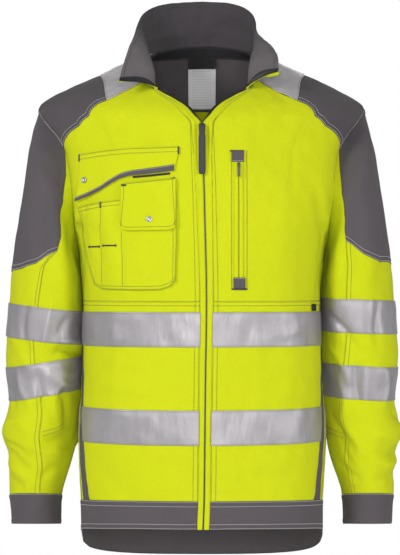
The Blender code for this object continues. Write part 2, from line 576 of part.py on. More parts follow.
class Half:
    """Everything that lies on one side of the jacket."""

    def __init__(self, name):
        self.name, self.side = name, SIDES[name]
        self.body = Body(self.side)
        self.sleeve = Sleeve(self.side, self.body)
        self.body.sleeve = self.sleeve
        self.body.collar = Collar(name, self.body)
        self.collar = self.body.collar
        self.strip_seam = self.on_body(STRIP_SEAM, (0.55, 1), 3)
        self.strip_seam[0, 1] = NECK
        self.yoke_seam = self.on_body(YOKE_SEAM, (0.7, 3), 7)
        self.yoke_seam[0] = self.strip_seam[-1]
        self.yoke_seam[-1] = (1, YOKE_END)
        self.strip_back = pairs([1.32, 1.28, 1.24], [NECK, 1, STRIP_END])
        self.yoke_back = pairs([1.24, 1.225, 1.205, 1.18, 1.15, 1.09, REAR],
                               [STRIP_END, 2.4, 2.9, 3.4, 3.9, 4.4, YOKE_END])

    def strip_end(self):
        """The seam between the strip and the yoke, which rises from the front to the shoulder."""
        start = self.strip_seam[-1]
        a = np.linspace(start[0], self.strip_back[-1, 0], 11)
        below = np.clip((STRIP_TURN - a) / (STRIP_TURN - start[0]), 0, 1) ** 2
        return pairs(a, STRIP_END + (start[1] - STRIP_END) * below)

    def mirrored(self, spots):
        return [Spot(self.side * spot.x, spot.z) for spot in spots]

    def on_body(self, spots, guess, count):
        return sampled(self.body.locate(self.mirrored(spots), guess), count)

    def insert(self, edge, z):
        return np.interp(-np.asarray(z), [-row.z for row in INSERT],
                         [getattr(row, edge) for row in INSERT])

    def edge_rows(self, distance, upper, last):
        """Sections at this distance from the front edge: upper ones, then the levels, then last."""
        rows = np.array(list(upper) + [self.body.at_height(np.zeros(1), z)[0] for z in LEVELS[1:]]
                        + list(last))
        return pairs(self.body.from_edge(distance, rows), rows)

    def welt_edge(self, b):
        return pairs(self.body.from_edge(WELT_END, np.asarray(b, float)), b)

    def insert_edge(self, edge, rows):
        """The insert's front or rear edge above the level seam, its first point on the armhole."""
        z = self.body.point(np.ones(len(rows)), rows)[:, 2]
        places = pairs(self.insert(edge, z), rows)
        places[0, 0] = 1 if edge == "front" else REAR
        return places

    def levels(self, start, end, columns):
        """Rows from the level seam to the hem band; start and end give a at each height."""
        rows = []
        for z in LEVELS:
            a = np.linspace(start(z), end(z), columns)
            rows.append(pairs(a, self.body.at_height(a, z)))
        a = np.linspace(start(None), end(None), columns)
        rows.append(pairs(a, HEM_TOP))
        return np.stack(rows, axis=1)

    def welt_at(self, z):
        row = HEM_TOP if z is None else self.body.at_height(np.zeros(1), z)[0]
        return self.body.from_edge(WELT_END, np.array(float(row)))

    def insert_at(self, edge):
        return lambda z: self.insert(edge, -0.680 if z is None else z)

    # -- fronts

    def front_upper(self):
        neck_a = np.linspace(self.welt_edge([NECK])[0, 0], self.strip_seam[0, 0], 4)
        top = np.concatenate([pairs(neck_a, NECK)[:-1], self.strip_seam[:-1], self.yoke_seam])
        right = np.concatenate([pairs(1, ARM_FRONT)[:-1], self.insert_edge("front", SIDE_UPPER)])
        left = self.welt_edge(CHEST_ROWS)
        bottom = pairs(np.linspace(left[-1, 0], right[-1, 0], len(top)), LEVEL_SEAM)
        return lay(self.body, patch(top, bottom, left, right))

    def front_lower(self):
        return lay(self.body, self.levels(self.welt_at, self.insert_at("front"), 11))

    def side_insert(self):
        front, rear = (self.insert_edge(edge, SIDE_UPPER) for edge in ("front", "rear"))
        middle = (front + rear) / 2
        middle[0] = (1, ARMPIT)
        lower = self.levels(self.insert_at("front"), self.insert_at("rear"), 3)
        return lay(self.body, np.concatenate([np.stack([front, middle, rear]), lower[:, 1:]], axis=1))

    def back(self):
        """The half of the back panel, from the side to the middle."""
        side = np.concatenate([pairs(REAR, ARM_FRONT)[:-1], self.insert_edge("rear", SIDE_UPPER)])
        top = self.back_yoke_edge()
        middle = pairs(2, np.linspace(top[-1, 1], LEVEL_SEAM, len(side)))
        bottom = pairs(np.linspace(side[-1, 0], 2, len(top)), LEVEL_SEAM)
        lower = self.levels(self.insert_at("rear"), lambda z: 2, len(top))
        return lay(self.body, np.concatenate([patch(top, bottom, side, middle), lower[:, 1:]], axis=1))

    def back_yoke_edge(self):
        """The seam between the back yoke and the back panel, from the armhole to the middle."""
        a = np.linspace(REAR, 2, 9)
        return pairs(a, YOKE_END - (YOKE_END - 3) * np.sin((a - 1) * math.pi / 2) ** 1.2)

    def back_yoke(self):
        side = np.concatenate([self.strip_back, self.yoke_back[1:]])
        side[-1] = (REAR, YOKE_END)
        bottom = self.back_yoke_edge()
        top = pairs(np.linspace(side[0, 0], 2, len(bottom)), NECK)
        middle = pairs(2, np.linspace(NECK, bottom[-1, 1], len(side)))
        return lay(self.body, patch(top, bottom, side, middle))

    def hem(self, a):
        return lay(self.body, pairs(np.asarray(a)[:, None], np.array([HEM_TOP, HEM])[None, :]))

    def hem_front(self):
        return self.hem(np.linspace(self.welt_at(None), self.insert_at("front")(None), 11))

    def hem_side(self):
        """The hem band from the insert's front edge to the middle of the back."""
        front, rear = self.insert_at("front")(None), self.insert_at("rear")(None)
        return self.hem(np.concatenate([[front, (front + rear) / 2], np.linspace(rear, 2, 9)]))

    def front_strip(self, distances, start=NECK):
        """A strip along the whole front edge, its columns at these distances from it."""
        rows = np.concatenate([[start], CHEST_ROWS[1:]])
        return lay(self.body, np.stack([self.edge_rows(distance, rows, (HEM_TOP, HEM))
                                        for distance in distances]))

    # -- pockets and other trims

    def on_front(self, spots):
        """The surface at a grid of distances from the middle and heights."""
        flat = [Spot(self.side * x, z) for x, z in spots.reshape(-1, 2)]
        places = self.body.locate(flat, (0.4, 6)).reshape(spots.shape)
        return lay(self.body, places)

    def box(self, box, columns=2, rows=2, slant=0.0, corner=0.0):
        """An upright rectangle, its top edge slanted and its lower corners cut round."""
        across = np.linspace(0, 1, columns)[:, None]
        down = np.linspace(0, 1, rows)[None, :]
        x = box.left + (box.right - box.left) * across + 0 * down
        tops = box.top + slant * (2 * across - 1)
        from_end = np.minimum(across, 1 - across) * abs(box.left - box.right)
        cut = corner - np.sqrt(np.maximum(corner ** 2 - np.maximum(corner - from_end, 0) ** 2, 0))
        return self.on_front(np.stack([x, tops + (box.bottom + cut - tops) * down], axis=-1))

    def chest_flap(self):
        top, edge = (self.on_body(spots, (0.4, 6), 12) for spots in (FLAP_TOP, FLAP_EDGE))
        down = np.linspace(0, 1, 4)[None, :, None]
        return lay(self.body, top[:, None] * (1 - down) + edge[:, None] * down)

    def flap_trim(self):
        edge = sampled(np.array(FLAP_EDGE), 16)
        width = np.linspace(FLAP_TRIM[0], FLAP_TRIM[1], 16)[:, None, None]
        down = np.array([1, 0])[None, :, None]
        return self.on_front(edge[:, None] + [0, 1] * width * down)

    def chest_pocket(self):
        edges = [self.on_body(spots, (0.4, 6), count) for spots, count in
                 ((POCKET_TOP, 13), (POCKET_FOOT, 13), (POCKET_LEFT, 9), (POCKET_RIGHT, 9))]
        return lay(self.body, patch(*edges))

    def front_depth(self, x, z):
        """The y of the front surface at a distance from the middle and a height."""
        return float(self.on_front(np.array([[[x, z]]])).points[0, 0, 1])

    def inside_back(self, piece, columns=3, rows=4):
        b = np.linspace(piece.top, piece.bottom, rows)
        a = self.body.from_back(piece.half, b)[None, :]
        share = np.linspace(0, 1, columns)[:, None]
        return lay(self.body, pairs(a + (2 - a) * share, b[None, :]))

    def neck_tape(self):
        a = np.linspace(NECK_TAPE_START, 2, 8)[:, None]
        return lay(self.body, pairs(a, np.array(NECK_TAPE_ROWS)[None, :]))

    # -- shoulder

    def shoulder_strip(self):
        top = pairs(np.linspace(self.strip_seam[0, 0], self.strip_back[0, 0], 11), NECK)
        return lay(self.body, patch(top, self.strip_end(), self.strip_seam, self.strip_back))

    def shoulder_yoke(self):
        bottom = np.concatenate([pairs(1, ARM_TOP), pairs(REAR, ARM_TOP[-2::-1])])
        left, right = self.yoke_seam.copy(), self.yoke_back.copy()
        right[-1] = (REAR, YOKE_END)
        return lay(self.body, patch(self.strip_end(), bottom, left, right))

    # -- sleeve

    def on_sleeve(self, spots, guess):
        return self.sleeve.locate(self.mirrored(spots), guess)

    def sleeve_edges(self):
        """The cap's front edge, half its lower edge, and the seam down to the cuff."""
        down = sampled(self.on_sleeve(CAP_EDGE[self.name], (math.radians(85), 1)), 6)
        down[0] = (math.radians(ARM_ANGLES[1]), 0)
        lower = self.on_sleeve(CAP_HEM[self.name][:-1], (math.radians(75), 2))
        lower = np.concatenate([lower, [(0, self.ring_at(0, CAP_HEM[self.name][-1].z))]])
        lower = sampled(lower, 6)
        seam = self.on_sleeve(SLEEVE_SEAM[self.name], (math.radians(95), 4))
        seam[-1, 1] = CUFF_TOP
        seam[0] = down[-1]
        lower[0] = down[-1]
        return down, lower, seam

    def ring_at(self, angle, z):
        low, high = 0.0, float(CUFF_END)
        for _ in range(40):
            middle = (low + high) / 2
            if self.sleeve.point(angle, middle)[..., 2] > z:
                low = middle
            else:
                high = middle
        return (low + high) / 2

    def sleeve_panels(self):
        """The grids of the cap, the outer and the inner panel."""
        down, lower, seam = self.sleeve_edges()
        behind = lower[-2::-1] * [-1, 1]
        whole_lower = np.concatenate([lower, behind])
        front_b = np.concatenate([ARM_TOP, ARM_TOP[-2::-1]])
        sign = np.concatenate([np.full(6, 1), np.full(5, -1)])
        angle = sign * np.radians(np.interp(front_b, np.arange(SHOULDER, ARMPIT + 1), ARM_ANGLES))
        armhole = pairs(angle, 0)
        cap = patch(armhole, whole_lower, down, down * [-1, 1])
        arm_b = np.concatenate([ARM_FRONT, [ARMPIT], ARM_FRONT[::-1]])
        size = np.radians(np.interp(arm_b, np.arange(SHOULDER, ARMPIT + 1), ARM_ANGLES))
        angle = np.where(np.arange(11) <= 5, size, 2 * math.pi - size)
        corner = down[-1]
        turned = down * [-1, 1] + [2 * math.pi, 0]
        under = pairs(np.linspace(corner[0], 2 * math.pi - corner[0], 11), corner[1])
        inner = [patch(pairs(angle, 0), under, down, turned)]
        outer = [whole_lower[:, None]]
        for row in self.sleeve_rows(seam):
            outer.append(pairs(np.linspace(row[0], -row[0], 11), 0)[:, None])
            inner.append(pairs(np.linspace(row[0], 2 * math.pi - row[0], 11), 0)[:, None])
            for grid in (outer, inner):
                angles = grid[-1][:, 0, 0]
                grid[-1][:, 0, 1] = [self.ring_at(angle, row[1](angle)) for angle in angles] \
                    if callable(row[1]) else row[1]
        return tuple(lay(self.sleeve, places) for places in
                     (cap, np.concatenate(outer, axis=1)[::-1], np.concatenate(inner, axis=1)))

    def sleeve_rows(self, seam):
        """For each row below the cap: the seam's angle, and the ring's number or its height."""
        rows = []
        upper, lower = SLEEVE_TAPES[self.name]["upper"], SLEEVE_TAPES[self.name]["lower"]
        for slope, drop in ((upper, 0), (upper, TAPE), (ELBOW, 0), (lower, 0), (lower, TAPE)):
            def height(angle, slope=slope, drop=drop):
                middle, tilt = (slope.outer + slope.inner) / 2, (slope.outer - slope.inner) / 2
                return middle + tilt * math.cos(angle) - drop
            angle = math.radians(85)
            for _ in range(6):
                angle = np.interp(self.ring_at(angle, height(angle)), seam[:, 1], seam[:, 0])
            rows.append((angle, height))
        return rows + [(np.interp(ring, seam[:, 1], seam[:, 0]), ring) for ring in FOREARM_RINGS]

    def cuff(self):
        seam = self.sleeve_edges()[2][-1, 0]
        angles = np.concatenate([np.linspace(seam, 2 * math.pi - seam, 11)[5:-1],
                                 np.linspace(2 * math.pi - seam, 2 * math.pi + seam, 11)[:-1],
                                 np.linspace(2 * math.pi + seam, 4 * math.pi - seam, 11)[:6]])
        return lay(self.sleeve, pairs(angles[:, None], np.array([CUFF_TOP, CUFF_END])[None, :]))

    # -- collar

    def collar_grid(self, rows=5):
        a = np.concatenate([[float(self.body.from_edge(COLLAR_EDGE, NECK))],
                            np.linspace(self.welt_edge([NECK])[0, 0], self.strip_seam[0, 0], 4),
                            np.linspace(self.strip_seam[0, 0], self.strip_back[0, 0], 11)[1:],
                            np.linspace(self.strip_back[0, 0], 2, 9)[1:]])
        return a[:, None], np.linspace(0, 1, rows)[None, :]

    def collar_edge(self, rows=5):
        """The collar's narrow front edge, from its top down to the neck seam."""
        a = self.body.from_edge(np.array([TAPE_EDGE, COLLAR_EDGE]), NECK)
        return lay(self.collar, pairs(a[:, None], np.linspace(1, 0, rows)[None, :]))


def reversed_grid(grid):
    return Grid(grid.points[::-1], grid.normals[::-1])


def across_back(right, left):
    """A grid made of the two halves, from the wearer's right round the back to the left."""
    return joined(right, reversed_grid(left))


def build_cloth(halves):
    right, left = halves["R"], halves["L"]
    grids = {}
    for name, half in halves.items():
        fronts = {"front_upper": half.front_upper(), "front_lower": half.front_lower()}
        cap, outer, inner = half.sleeve_panels()
        for piece, grid, slot in (
                ("front_upper", fronts["front_upper"], "lime_cloth"),
                ("front_lower", fronts["front_lower"], "lime_cloth"),
                ("side_insert", half.side_insert(), "grey_cloth"),
                ("hem_front", half.hem_front(), "grey_cloth"),
                ("front_welt", half.front_strip((EDGE_GAP, COLLAR_EDGE, WELT_END)), "lime_cloth"),
                ("shoulder_strip", half.shoulder_strip(), "reflective_tape"),
                ("shoulder_yoke", half.shoulder_yoke(), "grey_cloth"),
                ("sleeve_cap", cap, "grey_cloth"),
                ("sleeve_outer", outer, "lime_cloth"),
                ("sleeve_inner", inner, "lime_cloth"),
                ("cuff", half.cuff(), "grey_cloth")):
            slab(f"{piece}_{name}", grid, slot, -WALL, WALL)
        tape = half.front_strip((TAPE_EDGE, ZIP_TAPE_WIDTH), ZIP_START)
        slab(f"zip_tape_{name}", tape, "black_webbing", -WALL - LAYER, TRIM)
        for level, row in TAPE_ROWS.items():
            slab(f"body_tape_{level}_{name}", rows_of(fronts["front_lower"], row, row + 2),
                 "reflective_tape", GAP)
        around = joined(rows_of(inner, 5, None), outer)
        order = np.concatenate([np.arange(5, 20), np.arange(0, 6)])
        ring = Grid(around.points[order], around.normals[order])
        for level, row in {"upper": 1, "lower": 4}.items():
            slab(f"sleeve_tape_{level}_{name}", rows_of(ring, row, row + 2), "reflective_tape", GAP)
        grids[name] = fronts
    back = across_back(right.back(), left.back())
    slab("back", back, "lime_cloth", -WALL, WALL)
    slab("back_yoke", across_back(right.back_yoke(), left.back_yoke()), "grey_cloth", -WALL, WALL)
    slab("hem_back", across_back(right.hem_side(), left.hem_side()), "grey_cloth", -WALL, WALL)
    first = len(ARM_FRONT) + len(SIDE_UPPER) - 2
    for level, row in TAPE_ROWS.items():
        slab(f"body_tape_{level}_back", rows_of(back, first + row, first + row + 2),
             "reflective_tape", GAP)
    return grids


def build_collar(halves):
    parts = []
    for half in halves.values():
        a, b = half.collar_grid()
        parts.append(lay(half.collar, pairs(a, b)))
    whole = across_back(*parts)
    slab("collar_outer", whole, "grey_cloth", -TRIM, TRIM)
    slab("collar_inner", whole, "grey_cloth", -TRIM - LAYER, TRIM)
    for name, half in halves.items():
        slab(f"collar_binding_{name}", half.collar_edge(), "lime_cloth", -TRIM, TRIM)
        slab(f"collar_zip_{name}", half.collar_edge(), "black_webbing", -TRIM - LAYER, TRIM)


def build_inside(halves):
    """The tape and the labels inside the neck, layer on layer."""
    right, left = halves["R"], halves["L"]
    seat = -WALL - ROOM - LAYER
    slab("neck_tape", across_back(right.neck_tape(), left.neck_tape()), "black_webbing", seat, TRIM)
    care = across_back(right.inside_back(CARE_LABEL), left.inside_back(CARE_LABEL))
    slab("care_label", care, "white_label", seat, TRIM)
    label = across_back(right.inside_back(NECK_LABEL), left.inside_back(NECK_LABEL))
    slab("neck_label", label, "black_webbing", seat - LAYER, TRIM)


def build_pockets(halves):
    right, left = halves["R"], halves["L"]
    seat = GAP + ROOM
    over = seat + TRIM + seat
    slab("chest_flap", right.chest_flap(), "lime_cloth", seat, TRIM, FLAP_FLARE)
    slab("chest_flap_trim", right.flap_trim(), "grey_cloth", over + FLAP_FLARE, TRIM)
    slab("chest_pocket", right.chest_pocket(), "lime_cloth", seat + 2 * GAP)
    flap = right.box(PHONE_FLAP, 7, 4, PHONE_FLAP_SLANT, 0.008)
    slab("phone_flap", flap, "lime_cloth", over + 2 * GAP, TRIM, FLAP_FLARE)
    for name, spot, lift in (("snap_flap", SNAP_FLAP, seat), ("snap_phone", SNAP_PHONE, over + 2 * GAP)):
        place = right.body.locate(right.mirrored([spot]), (0.4, 6))[0]
        top = lift + TRIM + SNAP_FLARE * FLAP_FLARE + GAP
        disc(name, right.body, place, top, SNAP_RADIUS, SNAP_HEIGHT, "steel")
    slab("pocket_zip", left.box(POCKET_ZIP, 2, 8), "black_webbing", seat)
    slab("pocket_tab_upper", left.box(POCKET_TAB_UPPER), "grey_cloth", over)
    slab("pocket_tab_lower", left.box(POCKET_TAB_LOWER), "grey_cloth", over)
    slab("side_tab", left.box(SIDE_TAB), "black_webbing", seat)


def build_slider(name, half, slider, pull, seat):
    """A slider lying on the cloth, and the pull that hangs from its bridge on a hinge."""
    middle_z = slider.top - slider.height / 2
    depth = min(half.front_depth(abs(slider.x) + side * slider.width / 2, z) for side in (0, 1)
                for z in (slider.top, slider.top - slider.height)) - seat
    rings = []
    for y, width, height in ((0, 0.9, 0.95), (0.4, 1, 1), (0.9, 1, 1), (1, 0.85, 0.93)):
        outline = rounded_box(slider.width * width, slider.height * height, slider.width * 0.3)
        rings.append(np.stack([slider.x + outline[:, 0], np.full(len(outline), depth - y * slider.plate),
                               middle_z + outline[:, 1]], axis=-1))
    bridge_z = slider.top - slider.bridge_height * 0.6
    for y in (0, 1):
        outline = rounded_box(slider.bridge_width, slider.bridge_height, slider.bridge_width * 0.4)
        front = depth - slider.plate - y * slider.bridge
        rings.append(np.stack([slider.x + outline[:, 0], np.full(len(outline), front),
                               bridge_z + outline[:, 1]], axis=-1))
    stack(f"{name}_slider", rings, "dark_metal")
    back = depth - slider.plate - slider.bridge - GAP
    hinge = np.array([slider.x, back - pull.thick / 2, bridge_z])
    outline = []
    for share, width in ((0, 0.9), (0.02, 1), (0.12, 1), (0.16, pull.width / pull.neck_width),
                         (0.97, pull.width / pull.neck_width), (1, 0.8)):
        outline.append((pull.neck_width * width / 2, PULL_LEDGE - share * pull.length))
    outline = np.array(outline + [(-x, z) for x, z in reversed(outline)])
    rings = [np.stack([outline[:, 0], np.full(len(outline), y), outline[:, 1]], axis=-1) + hinge
             for y in (pull.thick / 2, -pull.thick / 2)]
    stack(f"{name}_pull", rings, "dark_metal", hinge)


def main():
    for old in list(bpy.data.objects):
        bpy.data.objects.remove(old, do_unlink=True)
    halves = {name: Half(name) for name in SIDES}
    build_cloth(halves)
    build_collar(halves)
    build_inside(halves)
    build_pockets(halves)
    build_slider("zip", halves["R"], MAIN_SLIDER, MAIN_PULL, GAP)
    build_slider("pocket", halves["L"], POCKET_SLIDER, POCKET_PULL, GAP + ROOM + TRIM + GAP)


main()
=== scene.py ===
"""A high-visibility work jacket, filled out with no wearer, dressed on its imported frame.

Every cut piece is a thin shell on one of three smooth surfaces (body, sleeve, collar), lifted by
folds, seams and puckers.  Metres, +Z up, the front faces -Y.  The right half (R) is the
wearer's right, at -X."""

from __future__ import annotations

import logging
import math
from collections.abc import Callable, Mapping, Sequence
from dataclasses import dataclass, field
from enum import Enum
from typing import Any, NamedTuple

import bpy
import numpy as np
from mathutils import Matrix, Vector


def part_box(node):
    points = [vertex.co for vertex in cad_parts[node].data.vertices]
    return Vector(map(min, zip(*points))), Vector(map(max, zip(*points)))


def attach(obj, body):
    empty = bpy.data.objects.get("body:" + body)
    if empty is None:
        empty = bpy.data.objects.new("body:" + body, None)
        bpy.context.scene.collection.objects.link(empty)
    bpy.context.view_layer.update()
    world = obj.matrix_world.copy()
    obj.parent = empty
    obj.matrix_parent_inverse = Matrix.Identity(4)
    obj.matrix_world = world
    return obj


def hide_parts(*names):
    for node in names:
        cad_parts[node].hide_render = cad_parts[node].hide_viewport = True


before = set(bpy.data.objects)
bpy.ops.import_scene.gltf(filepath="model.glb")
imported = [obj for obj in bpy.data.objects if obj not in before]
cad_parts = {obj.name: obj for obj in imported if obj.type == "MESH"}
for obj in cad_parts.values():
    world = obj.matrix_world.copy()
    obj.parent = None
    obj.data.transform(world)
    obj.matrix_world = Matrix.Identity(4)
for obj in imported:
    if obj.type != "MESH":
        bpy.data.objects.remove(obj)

Array = np.ndarray
Colour = tuple[float, float, float, float]
LOG = logging.getLogger("jacket")

STEP = 1e-4                  # for slopes worked out by differences
REAR = 1 + STEP / 10         # the armhole's rear edge, its front edge being 1
BACK = 1 + STEP / 20         # anything past this lies behind the armhole
NECK, STRIP_END, SHOULDER, YOKE_END, ARMPIT, LEVEL_SEAM, HEM_TOP, HEM = 0, 1.88, 4, 5, 8, 9, 12, 13
CUFF_TOP, CUFF_END = 10, 11
STRIP_TURN = 0.85            # past this, round the body, the strip ends on the section STRIP_END
ARM_ANGLES = (0, 62, 108, 144, 180)
WALL, TRIM, LAYER = 0.0012, 0.0010, 0.0013
SEAM_LINES = np.array([0, .6, 1.2, 1.8, 2.8, 4.5, 6.2, 7.4, 8.2, 9.0, 10.4, 12.5]) / 1000
ROWS = (0.0018, 0.0082)      # the two rows of stitches beside a sewn seam


class Side(Enum):
    """The two halves of the jacket, by the wearer's own right and left."""

    R = -1
    L = 1


class Body(Enum):
    """The frame's moving bodies."""

    JACKET = "jacket"
    ZIP_PULL = "zip_pull"
    POCKET_PULL = "pocket_pull"


class Slot(Enum):
    """The record's material slots."""

    LIME = "lime_cloth"
    GREY = "grey_cloth"
    TAPE = "reflective_tape"
    BLACK = "black_webbing"
    WHITE = "white_label"
    METAL = "dark_metal"
    STEEL = "steel"


class Edge(Enum):
    """How one edge of a piece of cloth is made."""

    RUN = "runs on into the next grid"
    UNDER = "tucked under its neighbour"
    SEWN = "folded, on top, with two rows of stitches"
    CLEAN = "folded, on top, without stitches"
    FREE = "a free edge"


# How high each kind of edge lifts the cloth, in millimetres, against the distance from it.
PROFILES: dict[Edge, tuple[tuple[float, ...], tuple[float, ...]]] = {
    Edge.UNDER: ((0, 1.2, 2.8, 6), (-0.5, -0.2, -0.05, 0)),
    Edge.SEWN: ((0, 0.6, 1.2, 1.8, 2.8, 4.5, 6.2, 7.4, 8.2, 9.0, 10.4, 13.0),
                (-0.6, 0.25, 0.45, 0.15, 0.5, 0.6, 0.5, 0.3, -0.05, 0.12, 0.05, 0)),
    Edge.CLEAN: ((0, 0.6, 1.2, 2.8, 5), (-0.35, 0.1, 0.15, 0.1, 0)),
    Edge.FREE: ((0, 0.6, 1.2, 2.8, 5), (-0.25, 0, 0.05, 0.0, 0)),
}
PUCKERED = {Edge.SEWN: 1.0, Edge.UNDER: 0.5}


class Section(NamedTuple):
    """One section of the body, from the neck seam down.  See BodyForm for what each number does."""

    shift: float
    open: float
    front_y: float
    front_z: float
    back_y: float
    back_z: float
    edge_x: float
    edge_z: float
    arm_front: float
    arm_back: float
    round: float
    dip_front: float
    dip_back: float


class Ring(NamedTuple):
    """One ring of a sleeve: its outer and inner points and how deep it is."""

    outer_x: float
    outer_z: float
    inner_x: float
    inner_z: float
    front_y: float
    back_y: float


BODY = (
    Section(0, 0.066, -0.082, -0.062, 0.076, 0.02, 0.084, 0, 0, 0, 2.2, 1.2, 1.3),
    Section(0, 0.042, -0.098, -0.076, 0.094, -0.01, 0.122, -0.017, 0, 0, 2, 1.3, 1.3),
    Section(0, 0.0235, -0.112, -0.089, 0.108, -0.042, 0.16, -0.035, 0, 0, 1.9, 1.4, 1.4),
    Section(0, 0.0112, -0.124, -0.103, 0.118, -0.078, 0.206, -0.056, 0, 0, 1.75, 1.4, 1.4),
    Section(0, 0, -0.133, -0.12, 0.126, -0.112, 0.247, -0.086, 0, 0, 1.6, 1.3, 1.3),
    Section(0.001, 0, -0.138, -0.162, 0.132, -0.155, 0.205, -0.148, -0.04, 0.046, 1.9, 1, 1),
    Section(0.003, 0, -0.141, -0.21, 0.137, -0.208, 0.194, -0.205, -0.062, 0.066, 2.1, 1, 1),
    Section(0.004, 0, -0.142, -0.252, 0.14, -0.252, 0.19, -0.25, -0.044, 0.048, 2.4, 1, 1),
    Section(0.005, 0, -0.142, -0.288, 0.14, -0.288, 0.187, -0.274, 0, 0, 2.6, 1, 1),
    Section(0.0065, 0, -0.141, -0.376, 0.138, -0.376, 0.179, -0.376, 0, 0, 2.6, 1, 1),
    Section(0.005, 0, -0.139, -0.486, 0.134, -0.486, 0.181, -0.486, 0, 0, 2.6, 1, 1),
    Section(0.004, 0, -0.138, -0.5825, 0.132, -0.5825, 0.186, -0.5825, 0, 0, 2.6, 1, 1),
    Section(0.003, 0, -0.137, -0.663, 0.131, -0.737, 0.182, -0.68, 0, 0, 2.8, 0.6, 0.7),
    Section(0.0015, 0, -0.136, -0.704, 0.13, -0.78, 0.181, -0.728, 0, 0, 2.8, 0.6, 0.7),
)
SLEEVE = (
    Ring(0.261, -0.138, 0.191, -0.306, -0.078, 0.08),
    Ring(0.275, -0.228, 0.185, -0.345, -0.079, 0.083),
    Ring(0.287, -0.318, 0.184, -0.392, -0.076, 0.08),
    Ring(0.293, -0.395, 0.184, -0.442, -0.071, 0.075),
    Ring(0.298, -0.461, 0.185, -0.49, -0.067, 0.07),
    Ring(0.292, -0.522, 0.188, -0.54, -0.063, 0.064),
    Ring(0.303, -0.577, 0.192, -0.588, -0.061, 0.06),
    Ring(0.293, -0.612, 0.198, -0.618, -0.058, 0.057),
    Ring(0.292, -0.643, 0.207, -0.645, -0.055, 0.054),
    Ring(0.292, -0.669, 0.213, -0.669, -0.051, 0.05),
    Ring(0.289, -0.714, 0.215, -0.714, -0.048, 0.047),
)
COLLAR_TOP = {
    Side.R: ((0.122, -0.110, -0.056), (0.117, -0.092, -0.034), (0.110, -0.068, -0.006),
             (0.103, -0.035, 0.020), (0.099, 0.000, 0.042), (0.093, 0.030, 0.062),
             (0.076, 0.056, 0.078), (0.044, 0.078, 0.088), (0.000, 0.086, 0.092)),
    Side.L: ((0.113, -0.100, -0.042), (0.112, -0.086, -0.022), (0.104, -0.060, 0.000),
             (0.091, -0.030, 0.018), (0.083, -0.002, 0.036), (0.082, 0.028, 0.057),
             (0.069, 0.054, 0.076), (0.040, 0.076, 0.088), (0.000, 0.086, 0.092)),
}
COLLAR_ROLL = (0.006, 0.040, 0.032, 0.014, 0.005, 0.003, 0.003, 0.003, 0.003)
INSERT = ((-0.264, 0.96, 1.04), (-0.310, 0.86, 0.97), (-0.445, 0.85, 0.955),
          (-0.500, 0.77, 0.88), (-0.5825, 0.70, 0.80), (-0.680, 0.63, 0.735))
STRIP_SEAM = ((0.090, -0.052), (0.112, -0.065), (0.140, -0.079))
YOKE_SEAM = ((0.140, -0.079), (0.155, -0.085), (0.166, -0.103), (0.180, -0.116),
             (0.195, -0.126), (0.205, -0.148))
CAP_EDGE = {
    "R": ((0.205, -0.148), (0.201, -0.180), (0.203, -0.214), (0.206, -0.247), (0.210, -0.278),
          (0.216, -0.302)),
    "L": ((0.205, -0.148), (0.205, -0.180), (0.206, -0.210), (0.209, -0.240), (0.211, -0.264),
          (0.214, -0.286)),
}
CAP_HEM = {
    "R": ((0.216, -0.302), (0.247, -0.321), (0.274, -0.330), (0.289, -0.334)),
    "L": ((0.214, -0.286), (0.236, -0.305), (0.262, -0.318), (0.287, -0.324)),
}
SLEEVE_SEAM = {
    "R": ((0.216, -0.302), (0.233, -0.322), (0.239, -0.359), (0.249, -0.430),
          (0.246, -0.475), (0.237, -0.540), (0.239, -0.600), (0.241, -0.669)),
    "L": ((0.214, -0.286), (0.216, -0.318), (0.215, -0.374), (0.214, -0.430),
          (0.212, -0.467), (0.205, -0.522), (0.209, -0.580), (0.223, -0.669)),
}
EDGE_GAP, WELT_END, ZIP_TAPE_WIDTH = 0.0010, 0.0087, 0.0115     # distances from the front edge
ZIP_START = 0.15             # the section at which the zip's tape begins
TAPE = 0.0505
BODY_TAPES = {"upper": -0.390, "lower": -0.532}
SLEEVE_TAPES = {"R": {"upper": (-0.378, -0.391), "lower": (-0.476, -0.458)},
                "L": {"upper": (-0.375, -0.370), "lower": (-0.475, -0.468)}}
ELBOW_DARTS = {"R": ((0.2375, -0.5690), (0.2220, -0.5650), (0.2065, -0.5585)),
               "L": ((0.2070, -0.5740), (0.1990, -0.5700), (0.1910, -0.5650))}

ARM_FRONT = np.array([5, 5.6, 6.2, 6.9, 7.5])            # body sections down the armhole
ARM_TOP = np.array([5, 4.8, 4.6, 4.4, 4.2, 4])           # and up to the shoulder point

FLAP_TOP = ((0.180, -0.160), (0.145, -0.156), (0.104, -0.153), (0.032, -0.151))
FLAP_EDGE = ((0.182, -0.227), (0.147, -0.2135), (0.131, -0.204), (0.117, -0.196),
             (0.104, -0.1925), (0.075, -0.190), (0.040, -0.1855))
FLAP_TRIM = (0.0045, 0.0085)
POCKET_TOP = ((0.180, -0.2365), (0.119, -0.2280), (0.036, -0.215))
POCKET_LEFT = ((0.180, -0.2365), (0.173, -0.286), (0.166, -0.318), (0.155, -0.350))
POCKET_RIGHT = ((0.036, -0.215), (0.036, -0.290), (0.038, -0.344))
POCKET_FOOT = ((0.155, -0.350), (0.145, -0.357), (0.100, -0.3585), (0.060, -0.358),
               (0.046, -0.353), (0.038, -0.344))


# ---- sums on arrays ----------------------------------------------------------------------------

